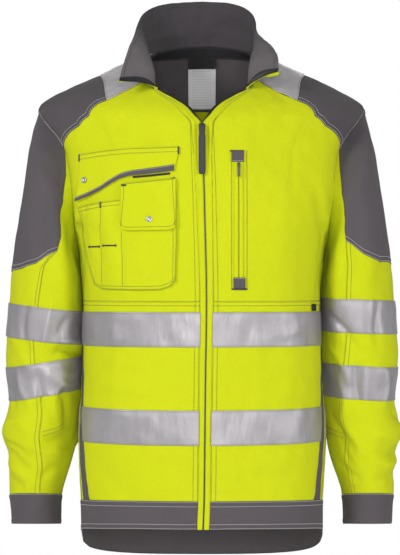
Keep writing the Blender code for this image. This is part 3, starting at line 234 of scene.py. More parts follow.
def smooth_rows(rows: Any, at: Array) -> Array:
    """Rows 0, 1, 2... joined by monotone cubics.

    Args:
        rows: a number for each row or, with as many entries as `at`, one point for each place.
        at: the places, counted in rows.

    Returns:
        The value at each place: on each span the cubic with the rows' values at its two ends and,
        as slopes, the harmonic mean of the steps on either side, or 0 where these change sign.
    """
    rows = np.asarray(rows, float)
    step = np.diff(rows, axis=0)
    product = step[:-1] * step[1:]
    total = step[:-1] + step[1:]
    slope = np.zeros_like(rows)
    slope[1:-1] = np.where(product > 0, 2 * product / np.where(total == 0, 1, total), 0)
    slope[0], slope[-1] = step[0], step[-1]
    low = np.clip(np.floor(at).astype(int), 0, len(rows) - 2)
    part = at - low
    if rows.ndim > 1:
        places = np.arange(len(at))
        first, second = (low, places), (low + 1, places)
        part = part[:, None]
    else:
        first, second = low, low + 1
    cube, square = part ** 3, part ** 2
    return (rows[first] * (2 * cube - 3 * square + 1) + slope[first] * (cube - 2 * square + part)
            + rows[second] * (3 * square - 2 * cube) + slope[second] * (cube - square))


def unit(vectors: Array) -> Array:
    """Each vector divided by its own length."""
    return vectors / np.maximum(np.linalg.norm(vectors, axis=-1, keepdims=True), 1e-12)


def spread(a: Any, b: Any) -> Sequence[Array]:
    """Two sets of numbers, spread to one shape."""
    return np.broadcast_arrays(np.asarray(a, float), np.asarray(b, float))


def pairs(a: Any, b: Any) -> Array:
    """Two sets of numbers side by side, spread to one shape."""
    return np.stack(spread(a, b), axis=-1)


def read_rows(rows: Array, at: Array) -> Array:
    """Rows of numbers read between each other, in a straight line, at places counted in rows."""
    index = np.arange(len(rows))
    return np.stack([np.interp(at, index, rows[:, k]) for k in range(rows.shape[1])], axis=-1)


def gone(points: Array) -> Array:
    """How far along a line of points each of them lies."""
    return np.concatenate([[0], np.cumsum(np.linalg.norm(np.diff(points, axis=0), axis=1))])


def sampled(places: Array, count: int) -> Array:
    """A path of parameters sampled evenly by its own length."""
    far = gone(places)
    at = np.interp(np.linspace(0, far[-1], count), far, np.arange(len(places)))
    return read_rows(places, at)


def arm_angle(rows: Any) -> Array:
    """The sleeve's angle, without its sign, at these sections of the body down the armhole."""
    return np.radians(np.interp(rows, np.arange(SHOULDER, ARMPIT + 1), ARM_ANGLES))


def waves(points: Array, length: float, seed: int, count: int = 7) -> Array:
    """Soft unevenness: the mean of plane sine waves of about this length, in seeded directions.

    Args:
        points: where it is read, (..., 3).
        length: the wavelength in metres; each wave's own is from 0.7 to 1.4 times this.
        seed: chooses the directions and phases.
        count: how many waves are added up.

    Returns:
        A number for each point, mostly from -1 to 1.
    """
    chance = np.random.default_rng(seed)
    turn = unit(chance.normal(size=(count, 3))) * (2 * math.pi / length
                                                  / chance.uniform(0.7, 1.4, (count, 1)))
    phase = chance.uniform(0, 2 * math.pi, count)
    return np.sin(points @ turn.T + phase).sum(-1) * math.sqrt(2 / count) / 1.4


# ---- the three surfaces ------------------------------------------------------------------------

class Form:
    """A smooth surface of two parameters, a and b.  turn is +1 or -1, so its normals face outwards."""

    turn: int = 1
    limits: tuple[tuple[float, float], tuple[float, float]] = ((0, 2), (0, 1))

    def point(self, a: Any, b: Any) -> Array:
        """The points at the parameters a and b."""
        raise NotImplementedError

    def spans(self, a: Array, b: Array) -> tuple[tuple[Array, Array], tuple[Array, Array]]:
        """The places on each side of (a, b) between which the slopes are measured."""
        (a_low, a_high), (b_low, b_high) = self.limits
        return ((np.maximum(a - STEP, a_low), np.minimum(a + STEP, a_high)),
                (np.maximum(b - STEP, b_low), np.minimum(b + STEP, b_high)))

    def plain_normal(self, a: Array, b: Array) -> Array:
        """The direction square to both slopes, a difference over a small step each."""
        (a_low, a_high), (b_low, b_high) = self.spans(a, b)
        along_a = self.point(a_high, b) - self.point(a_low, b)
        along_b = self.point(a, b_high) - self.point(a, b_low)
        return self.turn * unit(np.cross(unit(along_b), unit(along_a)))

    def normal(self, a: Array, b: Array) -> Array:
        """The outward direction, shared with the neighbouring surface on a seam."""
        return self.plain_normal(a, b)

    def at_height(self, a: Any, z: Any) -> Array:
        """The parameter b at which the surface has the height z, by halving."""
        a, z = spread(a, z)
        low, high = (np.full(a.shape, float(limit)) for limit in self.limits[1])
        for _ in range(40):
            middle = (low + high) / 2
            above = self.point(a, middle)[..., 2] > z
            low, high = np.where(above, middle, low), np.where(above, high, middle)
        return (low + high) / 2

    def locate(self, spots: Array, guess: tuple[float, float]) -> Array:
        """Parameters of the points seen from the front at the given x and z.

        Args:
            spots: (n, 2) x and z.
            guess: the parameters to start from.

        Returns:
            (n, 2) parameters, by forty damped steps of Newton's method.
        """
        target = np.asarray(spots, float)
        place = np.tile(np.array(guess, float), (len(target), 1))
        for _ in range(40):
            here = self.point(place[:, 0], place[:, 1])[:, [0, 2]]
            along_a = (self.point(place[:, 0] + STEP, place[:, 1])[:, [0, 2]] - here) / STEP
            along_b = (self.point(place[:, 0], place[:, 1] + STEP)[:, [0, 2]] - here) / STEP
            off = target - here
            det = along_a[:, 0] * along_b[:, 1] - along_a[:, 1] * along_b[:, 0]
            det = np.where(np.abs(det) < 1e-9, 1e-9, det)
            move_a = (off[:, 0] * along_b[:, 1] - off[:, 1] * along_b[:, 0]) / det
            move_b = (along_a[:, 0] * off[:, 1] - along_a[:, 1] * off[:, 0]) / det
            place[:, 0] += np.clip(move_a, -0.1, 0.1) * 0.7
            place[:, 1] += np.clip(move_b, -0.5, 0.5) * 0.7
            place = np.clip(place, [self.limits[0][0], self.limits[1][0]],
                            [self.limits[0][1], self.limits[1][1]])
        return place


class BodyForm(Form):
    """One half of the body.  a runs from 0 at the front edge through 1 at the side to 2 at the middle
    of the back, b is the section's number.  A section is a superellipse about a point on its front
    edge or on the middle of the back, and its height falls from the side to the middle by a power of
    the same angle.  Past the shoulder point and above the armpit, a = 1 is the armhole's front edge
    and anything above 1 lies behind its back edge."""

    limits = ((-0.05, 2.05), (0, HEM))

    def __init__(self, side: Side) -> None:
        """Keeps the side; the sleeve and the collar are set once they are made."""
        self.side = self.turn = side.value
        self.sleeve: SleeveForm | None = None
        self.collar: CollarForm | None = None

    def read(self, name: str, b: Any) -> Array:
        """One measure of the sections, at these section numbers."""
        return smooth_rows([getattr(section, name) for section in BODY], np.asarray(b, float))

    def point(self, a: Any, b: Any) -> Array:
        """The points at the parameters a and b."""
        a, b = spread(a, b)
        row = Section(*(self.read(name, b) for name in Section._fields))
        back = a > BACK
        angle = np.where(back, 2 - a, a) * math.pi / 2
        cos, sin = np.cos(angle), np.sin(angle)
        reach = (np.abs(cos) ** row.round + np.abs(sin) ** row.round) ** (-1 / row.round)
        middle_x = np.where(back, 0, row.shift + self.side * row.open)
        middle_y = np.where(back, row.back_y, row.front_y)
        middle_z = np.where(back, row.back_z, row.front_z)
        edge_y = np.where(back, row.arm_back, row.arm_front)
        dip = np.where(back, row.dip_back, row.dip_front)
        inwards = reach * cos
        return np.stack([middle_x + (self.side * row.edge_x - middle_x) * reach * sin,
                         edge_y + (middle_y - edge_y) * inwards,
                         row.edge_z + (middle_z - row.edge_z) * np.maximum(inwards, 0) ** dip], axis=-1)

    def spans(self, a: Array, b: Array) -> tuple[tuple[Array, Array], tuple[Array, Array]]:
        """As for any surface, but never across the armhole."""
        (a_low, a_high), b_span = super().spans(a, b)
        cut = (b > SHOULDER) & (b < ARMPIT)
        return ((np.where(cut & (a > BACK), np.maximum(a_low, REAR), a_low),
                 np.where(cut & (a <= BACK), np.minimum(a_high, 1), a_high)), b_span)

    def normal(self, a: Array, b: Array) -> Array:
        """On the armhole and on the neck seam, the direction midway between the two surfaces."""
        a, b = spread(a, b)
        found = self.plain_normal(a, b)
        on_armhole = (np.abs(a - 1) < 2e-4) & (b > SHOULDER - 1e-6) & (b < ARMPIT + 1e-6)
        if self.sleeve is not None and on_armhole.any():
            angle = arm_angle(b[on_armhole]) * np.where(a[on_armhole] > 1, -1, 1)
            other = self.sleeve.plain_normal(angle, np.full_like(angle, STEP))
            found[on_armhole] = unit(found[on_armhole] + other)
        on_neck = b < 1e-6
        if self.collar is not None and on_neck.any():
            other = self.collar.plain_normal(a[on_neck], np.zeros_like(a[on_neck]))
            found[on_neck] = unit(found[on_neck] + other)
        return found

    def from_edge(self, distance: Any, b: Any) -> Array:
        """The parameter a at this distance from the front edge."""
        half = self.side * (self.read("edge_x", b) - self.read("open", b)) - self.read("shift", b)
        return distance / (np.abs(half) * math.pi / 2)

    def from_back(self, distance: float, b: Array) -> Array:
        """The parameter a at this distance from the middle of the back."""
        return 2 - distance / (self.read("edge_x", b) * math.pi / 2)



class SleeveForm(Form):
    """A sleeve.  a is the angle from the outer side forwards, b is 0 on the armhole and then the
    ring's number.  A ring is an ellipse between its outer and inner points, and the last rings are
    tilted up at the front."""

    limits = ((-10, 10), (0, CUFF_END))

    def __init__(self, side: Side, body: BodyForm) -> None:
        """Keeps the side and the body that the sleeve grows from."""
        self.side, self.body = side.value, body
        self.turn = -side.value

    def armhole(self, angle: Array) -> tuple[Array, Array]:
        """The body's parameters of its armhole edge at these angles."""
        turned = np.mod(angle + math.pi, 2 * math.pi) - math.pi
        rows = np.interp(np.degrees(np.abs(turned)), ARM_ANGLES, np.arange(SHOULDER, ARMPIT + 1))
        return np.where(turned < 0, REAR, 1), rows

    def point(self, a: Any, b: Any) -> Array:
        """The points at the angle a and the ring number b."""
        a, b = spread(a, b)
        shape = a.shape
        a, b = a.ravel(), b.ravel()
        rings = [self.body.point(*self.armhole(a))]
        cos, sin = np.cos(a), np.sin(a)
        for ring in SLEEVE:
            rings.append(np.stack([
                self.side * ((ring.outer_x + ring.inner_x) + (ring.outer_x - ring.inner_x) * cos) / 2,
                (ring.front_y + ring.back_y) / 2 - (ring.back_y - ring.front_y) / 2 * sin,
                ((ring.outer_z + ring.inner_z) + (ring.outer_z - ring.inner_z) * cos) / 2], axis=-1))
        found = smooth_rows(rings, b)
        found[:, 2] -= 0.14 * found[:, 1] * np.clip((b - 8.5) / 1.5, 0, 1)
        return found.reshape(shape + (3,))

    def normal(self, a: Array, b: Array) -> Array:
        """On the armhole, the body's own direction there."""
        a, b = spread(a, b)
        found = self.plain_normal(a, b)
        on_armhole = b < 1e-6
        if on_armhole.any():
            found[on_armhole] = self.body.normal(*self.armhole(a[on_armhole]))
        return found


class CollarForm(Form):
    """One half of the collar.  a follows the neck seam as on the body, b is 0 on the seam and 1 on the
    top edge.  Each line up it is a parabola bent inwards.  Its normals face away from the neck."""

    limits = ((-0.05, 2.05), (0, 1))

    def __init__(self, side: Side, body: BodyForm) -> None:
        """Keeps the side, the body whose neck seam it stands on, and its top edge."""
        self.side, self.body = side.value, body
        self.turn = -side.value
        self.top = np.array(COLLAR_TOP[side])

    def point(self, a: Any, b: Any) -> Array:
        """The points at the parameters a and b."""
        a, b = spread(a, b)
        base = self.body.point(a, np.zeros_like(a))
        row = np.abs(a) * (len(self.top) - 1) / 2
        row = np.minimum(row, 2 * (len(self.top) - 1) - row)
        x, y, z = (smooth_rows(self.top[:, k], row) for k in range(3))
        edge = np.stack([self.side * np.where(a > 2, -1, 1) * x, y, z], axis=-1)
        roll = smooth_rows(COLLAR_ROLL, row)[..., None]
        inwards = -unit(((base + edge) / 2) * [1, 1, 0])
        control = (base + edge) / 2 + roll * (inwards * [1, 0.4, 0] + [0, 0, 1])
        b = b[..., None]
        return base * (1 - b) ** 2 + control * 2 * b * (1 - b) + edge * b ** 2

    def normal(self, a: Array, b: Array) -> Array:
        """On the seam, the body's own direction there."""
        a, b = spread(a, b)
        found = self.plain_normal(a, b)
        on_seam = b < 1e-6
        if on_seam.any():
            found[on_seam] = self.body.normal(a[on_seam], b[on_seam])
        return found


# ---- grids -------------------------------------------------------------------------------------

@dataclass(frozen=True)
class Edges:
    """The kinds of a grid's four edges."""

    top: Edge = Edge.UNDER
    bottom: Edge = Edge.UNDER
    left: Edge = Edge.UNDER
    right: Edge = Edge.UNDER


FREE = Edges(Edge.FREE, Edge.FREE, Edge.FREE, Edge.FREE)
FREE_HALF = Edges(Edge.FREE, Edge.FREE, Edge.FREE, Edge.RUN)
FREE_ROUND = Edges(Edge.FREE, Edge.FREE, Edge.RUN, Edge.RUN)
PITCH, FINE_PITCH = 0.0044, 0.0030     # spacing of the grids' lines away from the seams


@dataclass(frozen=True)
class Grid:
    """Points and outward normals, (columns, rows, 3): column 0 is the left edge, row 0 the top."""

    points: Array
    normals: Array

    def reversed(self) -> Grid:
        """The same grid with its columns the other way."""
        return Grid(self.points[::-1], self.normals[::-1])

    def beside(self, other: Grid) -> Grid:
        """This grid with another one that starts where it ends."""
        return Grid(np.concatenate([self.points, other.points[1:]]),
                    np.concatenate([self.normals, other.normals[1:]]))

    def travel(self, axis: int) -> Array:
        """How far each point lies along its own line from the first edge of this axis."""
        steps = np.linalg.norm(np.diff(self.points, axis=axis), axis=-1)
        start = np.zeros_like(np.take(steps, [0], axis))
        return np.concatenate([start, np.cumsum(steps, axis=axis)], axis=axis)

    def share(self, axis: int) -> Array:
        """The same as a share of the whole line."""
        far = self.travel(axis)
        return far / np.take(far, [-1], axis)

    def size(self) -> tuple[float, float, float]:
        """The greatest width and length, and the area, of the cloth."""
        corner = self.points[:-1, :-1]
        across, down = self.points[1:, :-1] - corner, self.points[:-1, 1:] - corner
        area = float(np.linalg.norm(np.cross(across, down), axis=-1).sum())
        return float(self.travel(0)[-1].max()), float(self.travel(1)[:, -1].max()), area

    def inside(self, thick: float) -> Grid:
        """The inner face of cloth of this thickness, which faces the other way."""
        return Grid(self.lifted(-thick), -self.normals)

    def lifted(self, amount: Any) -> Array:
        """The points moved along their normals."""
        return self.points + self.normals * (np.asarray(amount)[..., None] if np.ndim(amount) else amount)


def stations(length: float, start: bool, end: bool, pitch: float) -> Array:
    """Shares of a length at which a grid has its lines.

    Args:
        length: the length in metres.
        start: True for close lines at the start, where there is a seam.
        end: the same for the end.
        pitch: the spacing elsewhere, in metres.

    Returns:
        Rising shares from 0 to 1.
    """
    near = SEAM_LINES[SEAM_LINES < length * 0.42]
    first = near if start else near[:1]
    last = length - (near[::-1] if end else near[:1])
    count = max(2, math.ceil((last[0] - first[-1]) / pitch) + 1)
    return np.concatenate([first, np.linspace(first[-1], last[0], count)[1:-1], last]) / length


def fine(form: Form, path: Array, steps: int = 12) -> tuple[Array, Array]:
    """A path of parameters with more points between its own, and how far along the cloth each is."""
    places = read_rows(path, np.linspace(0, len(path) - 1, (len(path) - 1) * steps + 1))
    return places, gone(form.point(places[:, 0], places[:, 1]))


def along(form: Form, path: Array, shares: Array) -> Array:
    """The parameters at these shares of a path's real length."""
    places, far = fine(form, path)
    at = np.interp(shares * far[-1], far, np.arange(len(places)))
    return read_rows(places, at)


def fill(form: Form, top: Array, bottom: Array, left: Array, right: Array, edges: Edges,
         pitch: float, tall: float = 0.0) -> Grid:
    """A fine grid between four paths of parameters.

    Args:
        form: the surface that the paths lie on.
        top, bottom: paths that run the same way, from the left edge to the right one.
        left, right: paths that run the same way, from the top edge to the bottom one.
        edges: the kinds of the four edges; the lines lie close together by a seam.
        pitch: the spacing elsewhere, in metres.
        tall: the height that sets how many rows there are, where two grids have to match.

    Returns:
        The surface at a Coons patch: the sum of what the two pairs of paths give when joined by
        straight lines, less what their four corners give.
    """
    wide = (fine(form, top)[1][-1] + fine(form, bottom)[1][-1]) / 2
    tall = tall or (fine(form, left)[1][-1] + fine(form, right)[1][-1]) / 2
    across = stations(wide, edges.left is not Edge.RUN, edges.right is not Edge.RUN, pitch)
    down = stations(tall, edges.top is not Edge.RUN, edges.bottom is not Edge.RUN, pitch)
    one, two = along(form, top, across)[:, None], along(form, bottom, across)[:, None]
    three, four = along(form, left, down)[None], along(form, right, down)[None]
    u, v = across[:, None, None], down[None, :, None]
    corners = ((1 - u) * (1 - v) * one[0, 0] + u * (1 - v) * one[-1, 0]
               + (1 - u) * v * two[0, 0] + u * v * two[-1, 0])
    places = (1 - v) * one + v * two + (1 - u) * three + u * four - corners
    return lay(form, places)


def band(form: Form, top: Array, bottom: Array, edges: Edges) -> Grid:
    """A fine grid between two paths that run from the left to the right, with straight ends."""
    sides = (np.stack([top[k], bottom[k]]) for k in (0, -1))
    return fill(form, top, bottom, *sides, edges, FINE_PITCH)


def strip(form: Form, left: Array, right: Array, edges: Edges) -> Grid:
    """A fine grid between two paths that run down the cloth, with straight ends."""
    ends = (np.stack([left[k], right[k]]) for k in (0, -1))
    return fill(form, *ends, left, right, edges, FINE_PITCH)


def lay(form: Form, places: Array) -> Grid:
    """The points and normals of a surface at a grid of parameters."""
    return Grid(form.point(places[..., 0], places[..., 1]), form.normal(places[..., 0], places[..., 1]))


# ---- folds -------------------------------------------------------------------------------------

@dataclass(frozen=True)
class Fold:
    """A ridge, or a trough where its height is below 0, along a line through the cloth.

    Attributes:
        line: the points it runs through, (n, 3).
        height: in metres, at its middle.
        width: in metres, the distance at which it has fallen to about a third.
        start, end: the shares of its height at its two ends.
        crest: 2 for a soft round fold, and nearer 1 for a sharper one.
    """

    line: Array
    height: float
    width: float
    start: float = 0.0
    end: float = 0.0
    crest: float = 2.0

    def lift(self, points: Array) -> Array:
        """How far it lifts the points: height x taper x exp(-(distance / width) ** crest).

        The distance is that to the nearest point of the line, and the taper rises from the start's
        share to 1 in the middle and falls to the end's, as a sine.
        """
        found = np.zeros(len(points))
        reach = 2.6 * self.width
        low, high = self.line.min(0) - reach, self.line.max(0) + reach
        near = ((points > low) & (points < high)).all(1)
        if not near.any():
            return found
        spots = points[near]
        base, step = self.line[:-1], np.diff(self.line, axis=0)
        size = np.maximum((step ** 2).sum(1), 1e-12)
        part = np.clip(np.einsum("nsk,sk->ns", spots[:, None] - base, step) / size, 0, 1)
        away = np.linalg.norm(spots[:, None] - (base + part[..., None] * step), axis=2)
        best = away.argmin(1)
        every = np.arange(len(spots))
        share = (best + part[every, best]) / len(step)
        floor = np.where(share < 0.5, self.start, self.end)
        taper = floor + (1 - floor) * np.sin(share * math.pi) ** 0.8
        found[near] = self.height * taper * np.exp(-(away[every, best] / self.width) ** self.crest)
        return found


@dataclass
class Drape:
    """All the folds of the jacket, and the soft unevenness between them."""

    folds: list[Fold] = field(default_factory=list)
    drift: float = 0.0011
    ripple: float = 0.00035

    def lift(self, points: Array) -> Array:
        """The sum of every fold and of two sizes of waves, at a grid of points."""
        flat = points.reshape(-1, 3)
        total = self.drift * waves(flat * [1, 1, 0.6], 0.13, 3) + self.ripple * waves(flat, 0.034, 8)
        for fold in self.folds:
            total += fold.lift(flat)
        return total.reshape(points.shape[:-1])


# ---- shaders -----------------------------------------------------------------------------------

class Term:
    """A shader socket that takes part in sums: each operator adds the Math node it stands for."""

    def __init__(self, paint: Paint, socket: bpy.types.NodeSocket) -> None:
        """Keeps the socket and the material it belongs to."""
        self.paint, self.socket = paint, socket

    def _math(self, operation: str, *others: Value, turned: bool = False) -> Term:
        """A Math node on this term and others, with the first two the other way when turned."""
        terms: list[Value] = [self, *others]
        if turned:
            terms.reverse()
        node = self.paint.add("ShaderNodeMath", {"operation": operation}, dict(enumerate(terms)))
        return Term(self.paint, node.outputs[0])

    def __add__(self, other: Value) -> Term:
        """self + other."""
        return self._math("ADD", other)

    def __mul__(self, other: Value) -> Term:
        """self x other."""
        return self._math("MULTIPLY", other)

    def __sub__(self, other: Value) -> Term:
        """self - other."""
        return self._math("SUBTRACT", other)

    def __rsub__(self, other: Value) -> Term:
        """other - self."""
        return self._math("SUBTRACT", other, turned=True)

    __radd__, __rmul__ = __add__, __mul__

    def sine(self) -> Term:
        """The sine of this term."""
        return self._math("SINE")

    def size(self) -> Term:
        """This term without its sign."""
        return self._math("ABSOLUTE")

    def over(self, edge: float) -> Term:
        """1 where this term is greater than the edge, and 0 elsewhere."""
        return self._math("GREATER_THAN", edge)


Value = Term | float | tuple


class Paint:
    """The node tree of one material."""

    def __init__(self, name: str) -> None:
        """Makes the material and finds its shader."""
        self.material = bpy.data.materials.new(name)
        self.material.use_nodes = True
        self.tree = self.material.node_tree
        self.shader = self.tree.nodes["Principled BSDF"]

    def add(self, kind: str, settings: Mapping[str, Any],
            sockets: Mapping[int | str, Value]) -> bpy.types.Node:
        """Adds a node.

        Args:
            kind: the node's type.
            settings: what is set on the node first; stops are a colour ramp's (place, colour).
            sockets: the values or links of its sockets.

        Returns:
            The node.
        """
        node = self.tree.nodes.new(kind)
        for key, value in settings.items():
            if key == "stops":
                ramp = node.color_ramp.elements
                while len(ramp) < len(value):
                    ramp.new(0.5)
                for stop, (place, colour) in zip(ramp, value):
                    stop.position, stop.color = place, colour
            else:
                setattr(node, key, value)
        return self.plug(node, sockets)

    def plug(self, node: bpy.types.Node, sockets: Mapping[int | str, Value]) -> bpy.types.Node:
        """Links a node's sockets to terms, or sets them to values, and returns the node."""
        for key, value in sockets.items():
            if isinstance(value, Term):
                self.tree.links.new(value.socket, node.inputs[key])
            else:
                node.inputs[key].default_value = value
        return node

    def term(self, node: bpy.types.Node, output: int | str = 0) -> Term:
        """One output of a node, ready for sums."""
        return Term(self, node.outputs[output])

    def spot(self) -> Term:
        """The place on the piece in the jacket's own frame."""
        return self.term(self.add("ShaderNodeTexCoord", {}, {}), "Object")

    def cloth_place(self) -> tuple[Term, Term]:
        """The place along and down the cloth, in metres, from its UV map."""
        place = self.term(self.add("ShaderNodeTexCoord", {}, {}), "UV")
        split = self.add("ShaderNodeSeparateXYZ", {}, {0: place})
        return self.term(split, 0), self.term(split, 1)

    def noise(self, scale: float, detail: float = 2.0, place: Term | None = None) -> Term:
        """Soft noise from 0 to 1, its scale in features a metre."""
        node = self.add("ShaderNodeTexNoise", {}, {"Vector": place or self.spot(), "Scale": scale,
                                                   "Detail": detail, "Roughness": 0.55})
        return self.term(node, 0)

    def mix(self, share: Value, one: Value, two: Value) -> Term:
        """Colour one turning into colour two as the share goes from 0 to 1."""
        node = self.add("ShaderNodeMix", {"data_type": "RGBA"}, {0: share, 6: one, 7: two})
        return self.term(node, 2)

    def shade(self, colour: Value, amount: Term) -> Term:
        """A colour multiplied by a grey of this amount."""
        grey = self.term(self.add("ShaderNodeCombineXYZ", {}, {0: amount, 1: amount, 2: amount}))
        node = self.add("ShaderNodeMix", {"data_type": "RGBA", "blend_type": "MULTIPLY"},
                        {0: 1.0, 6: colour, 7: grey})
        return self.term(node, 2)

    def bump(self, height: Term, depth: float, under: Term | None = None) -> Term:
        """A normal bent by a height from 0 to 1 that stands for this depth in metres."""
        sockets: dict[int | str, Value] = {"Height": height, "Strength": 1.0, "Distance": depth}
        if under is not None:
            sockets["Normal"] = under
        return self.term(self.add("ShaderNodeBump", {}, sockets))

    def finish(self, colour: Value, rough: Value, normal: Term | None = None,
               **constants: float) -> bpy.types.Material:
        """Joins colour, roughness and normal to the shader, and sets its other sockets."""
        sockets: dict[str, Value] = {"Base Color": colour, "Roughness": rough}
        if normal is not None:
            sockets["Normal"] = normal
        self.plug(self.shader, sockets | {name.replace("_", " "): value for name, value in constants.items()})
        return self.material


@dataclass(frozen=True)
class Finish:
    """A finish: its name, its material slot, its colour, and the one it turns to where it is worn."""

    name: str
    slot: Slot
    colour: Colour
    worn: Colour

    def material(self) -> bpy.types.Material:
        """Makes the material."""
        raise NotImplementedError


@dataclass(frozen=True)
class Twill(Finish):
    """Woven work cloth: diagonal ribs of fine threads, a little cloudy, with a soft nap."""

    rib: float = 0.0011
    gloss: float = 0.20
    nap: float = 0.06
    # painted_shade_behind: a darker colour the cloth turns to towards the back, painted shade for the inside
    # of the neck
    painted_shade_behind: Colour | None = None     # its colour towards the back

    def material(self) -> bpy.types.Material:
        """Ribs: sin of (u + v) at the rib's pitch; threads: sin of u at half of it.  Both, and two
        sizes of noise, shade the colour; ribs and fine noise bend the normal."""
        paint = Paint(self.name)
        u, v = paint.cloth_place()
        turn = 2 * math.pi / self.rib
        rib = ((u + v) * turn).sine() * 0.5 + 0.5
        thread = ((u - v * 0.35) * (turn * 1.9)).sine() * 0.5 + 0.5
        weave = rib * 0.7 + thread * 0.3
        cloud, fleck = paint.noise(9, 4), paint.noise(420, 2)
        worn = paint.mix((cloud - 0.35) * 1.3, self.colour, self.worn)
        # Painted shade: the colour darkens towards the back (greater y), standing for the shadow inside the
        # neck.
        if self.painted_shade_behind:
            depth = paint.term(paint.add("ShaderNodeSeparateXYZ", {}, {0: paint.spot()}), 1)
            worn = paint.mix(depth * 14 + 0.75, worn, self.painted_shade_behind)
        colour = paint.shade(worn, weave * 0.10 + fleck * 0.10 + 0.90)
        crumple = paint.noise(55, 3)
        normal = paint.bump(weave, 0.00010, paint.bump(fleck, 0.00012, paint.bump(crumple, 0.0011)))
        return paint.finish(colour, cloud * 0.10 + 0.75, normal,
                            Specular_IOR_Level=self.gloss, Sheen_Weight=self.nap, Sheen_Roughness=0.6)


@dataclass(frozen=True)
class Reflective(Finish):
    """Silver tape: tiny glass beads on a fabric back, crinkled, with scuffs that look darker."""

    def material(self) -> bpy.types.Material:
        """A fine cross weave, beads and crinkles bend the normal; clouds and scuffs shade it."""
        paint = Paint(self.name)
        u, v = paint.cloth_place()
        turn = 2 * math.pi / 0.0009
        weave = (u * turn).sine() * 0.25 + (v * turn).sine() * 0.25 + 0.5
        cloud, bead = paint.noise(24, 4), paint.noise(1500, 1)
        long = paint.term(paint.add("ShaderNodeCombineXYZ", {}, {0: u, 1: v * 0.3}))
        crinkle = 1 - ((paint.noise(30, 3, long) - 0.5) * 2).size()
        colour = paint.mix((cloud - 0.38) * 1.9, self.colour, self.worn)
        colour = paint.shade(colour, bead * 0.12 + weave * 0.05 + 0.90)
        normal = paint.bump(bead, 0.00006, paint.bump(weave, 0.00005, paint.bump(crinkle, 0.0012)))
        return paint.finish(colour, cloud * 0.16 + 0.36, normal, Metallic=0.45, Specular_IOR_Level=0.6)


@dataclass(frozen=True)
class Ribbed(Finish):
    """Narrow woven ribbon or label: fine ribs across its length."""

    rib: float = 0.0009
    rules: bool = False

    def material(self) -> bpy.types.Material:
        """Ribs: sin of v at the rib's pitch.  A label may carry plain thin grey rules across it."""
        paint = Paint(self.name)
        u, v = paint.cloth_place()
        rib = (v * (2 * math.pi / self.rib)).sine() * 0.5 + 0.5
        thread = (u * (2 * math.pi / (self.rib * 0.8))).sine() * 0.5 + 0.5
        cloud = paint.noise(70, 3)
        colour = paint.mix(rib * 0.5 + cloud * 0.5, self.colour, self.worn)
        if self.rules:
            line = (v * (2 * math.pi / 0.0042)).sine().over(0.86)
            inside = 1 - ((u * 1.0 - 0.022).size()).over(0.016)
            colour = paint.mix(line * inside * 0.30, colour, (0.16, 0.16, 0.18, 1))
        normal = paint.bump(rib * 0.6 + thread * 0.4, 0.00012, paint.bump(cloud, 0.0003))
        return paint.finish(colour, cloud * 0.12 + 0.56, normal, Specular_IOR_Level=0.35)


@dataclass(frozen=True)
class Yarn(Finish):
    """Sewing thread: two strands twisted together."""

    def material(self) -> bpy.types.Material:
        """Fine noise mixes the two colours and bends the normal."""
        paint = Paint(self.name)
        strand = paint.noise(2600, 1)
        colour = paint.mix(strand, self.worn, self.colour)
        return paint.finish(colour, strand * 0.15 + 0.5, paint.bump(strand, 0.0001), Sheen_Weight=0.2)


@dataclass(frozen=True)
class Hard(Finish):
    """Metal or moulded plastic, its polish dulled in patches and rubbed along fine lines."""

    metal: float
    rough: float

    def material(self) -> bpy.types.Material:
        """Clouds mix the two colours, and clouds and fine scratches set the roughness."""
        paint = Paint(self.name)
        cloud, scratch = paint.noise(260, 4), paint.noise(1700, 2)
        colour = paint.mix(cloud, self.colour, self.worn)
        return paint.finish(colour, cloud * 0.18 + scratch * 0.06 + (self.rough - 0.1),
                            paint.bump(scratch, 0.00004, paint.bump(cloud, 0.0001)), Metallic=self.metal)


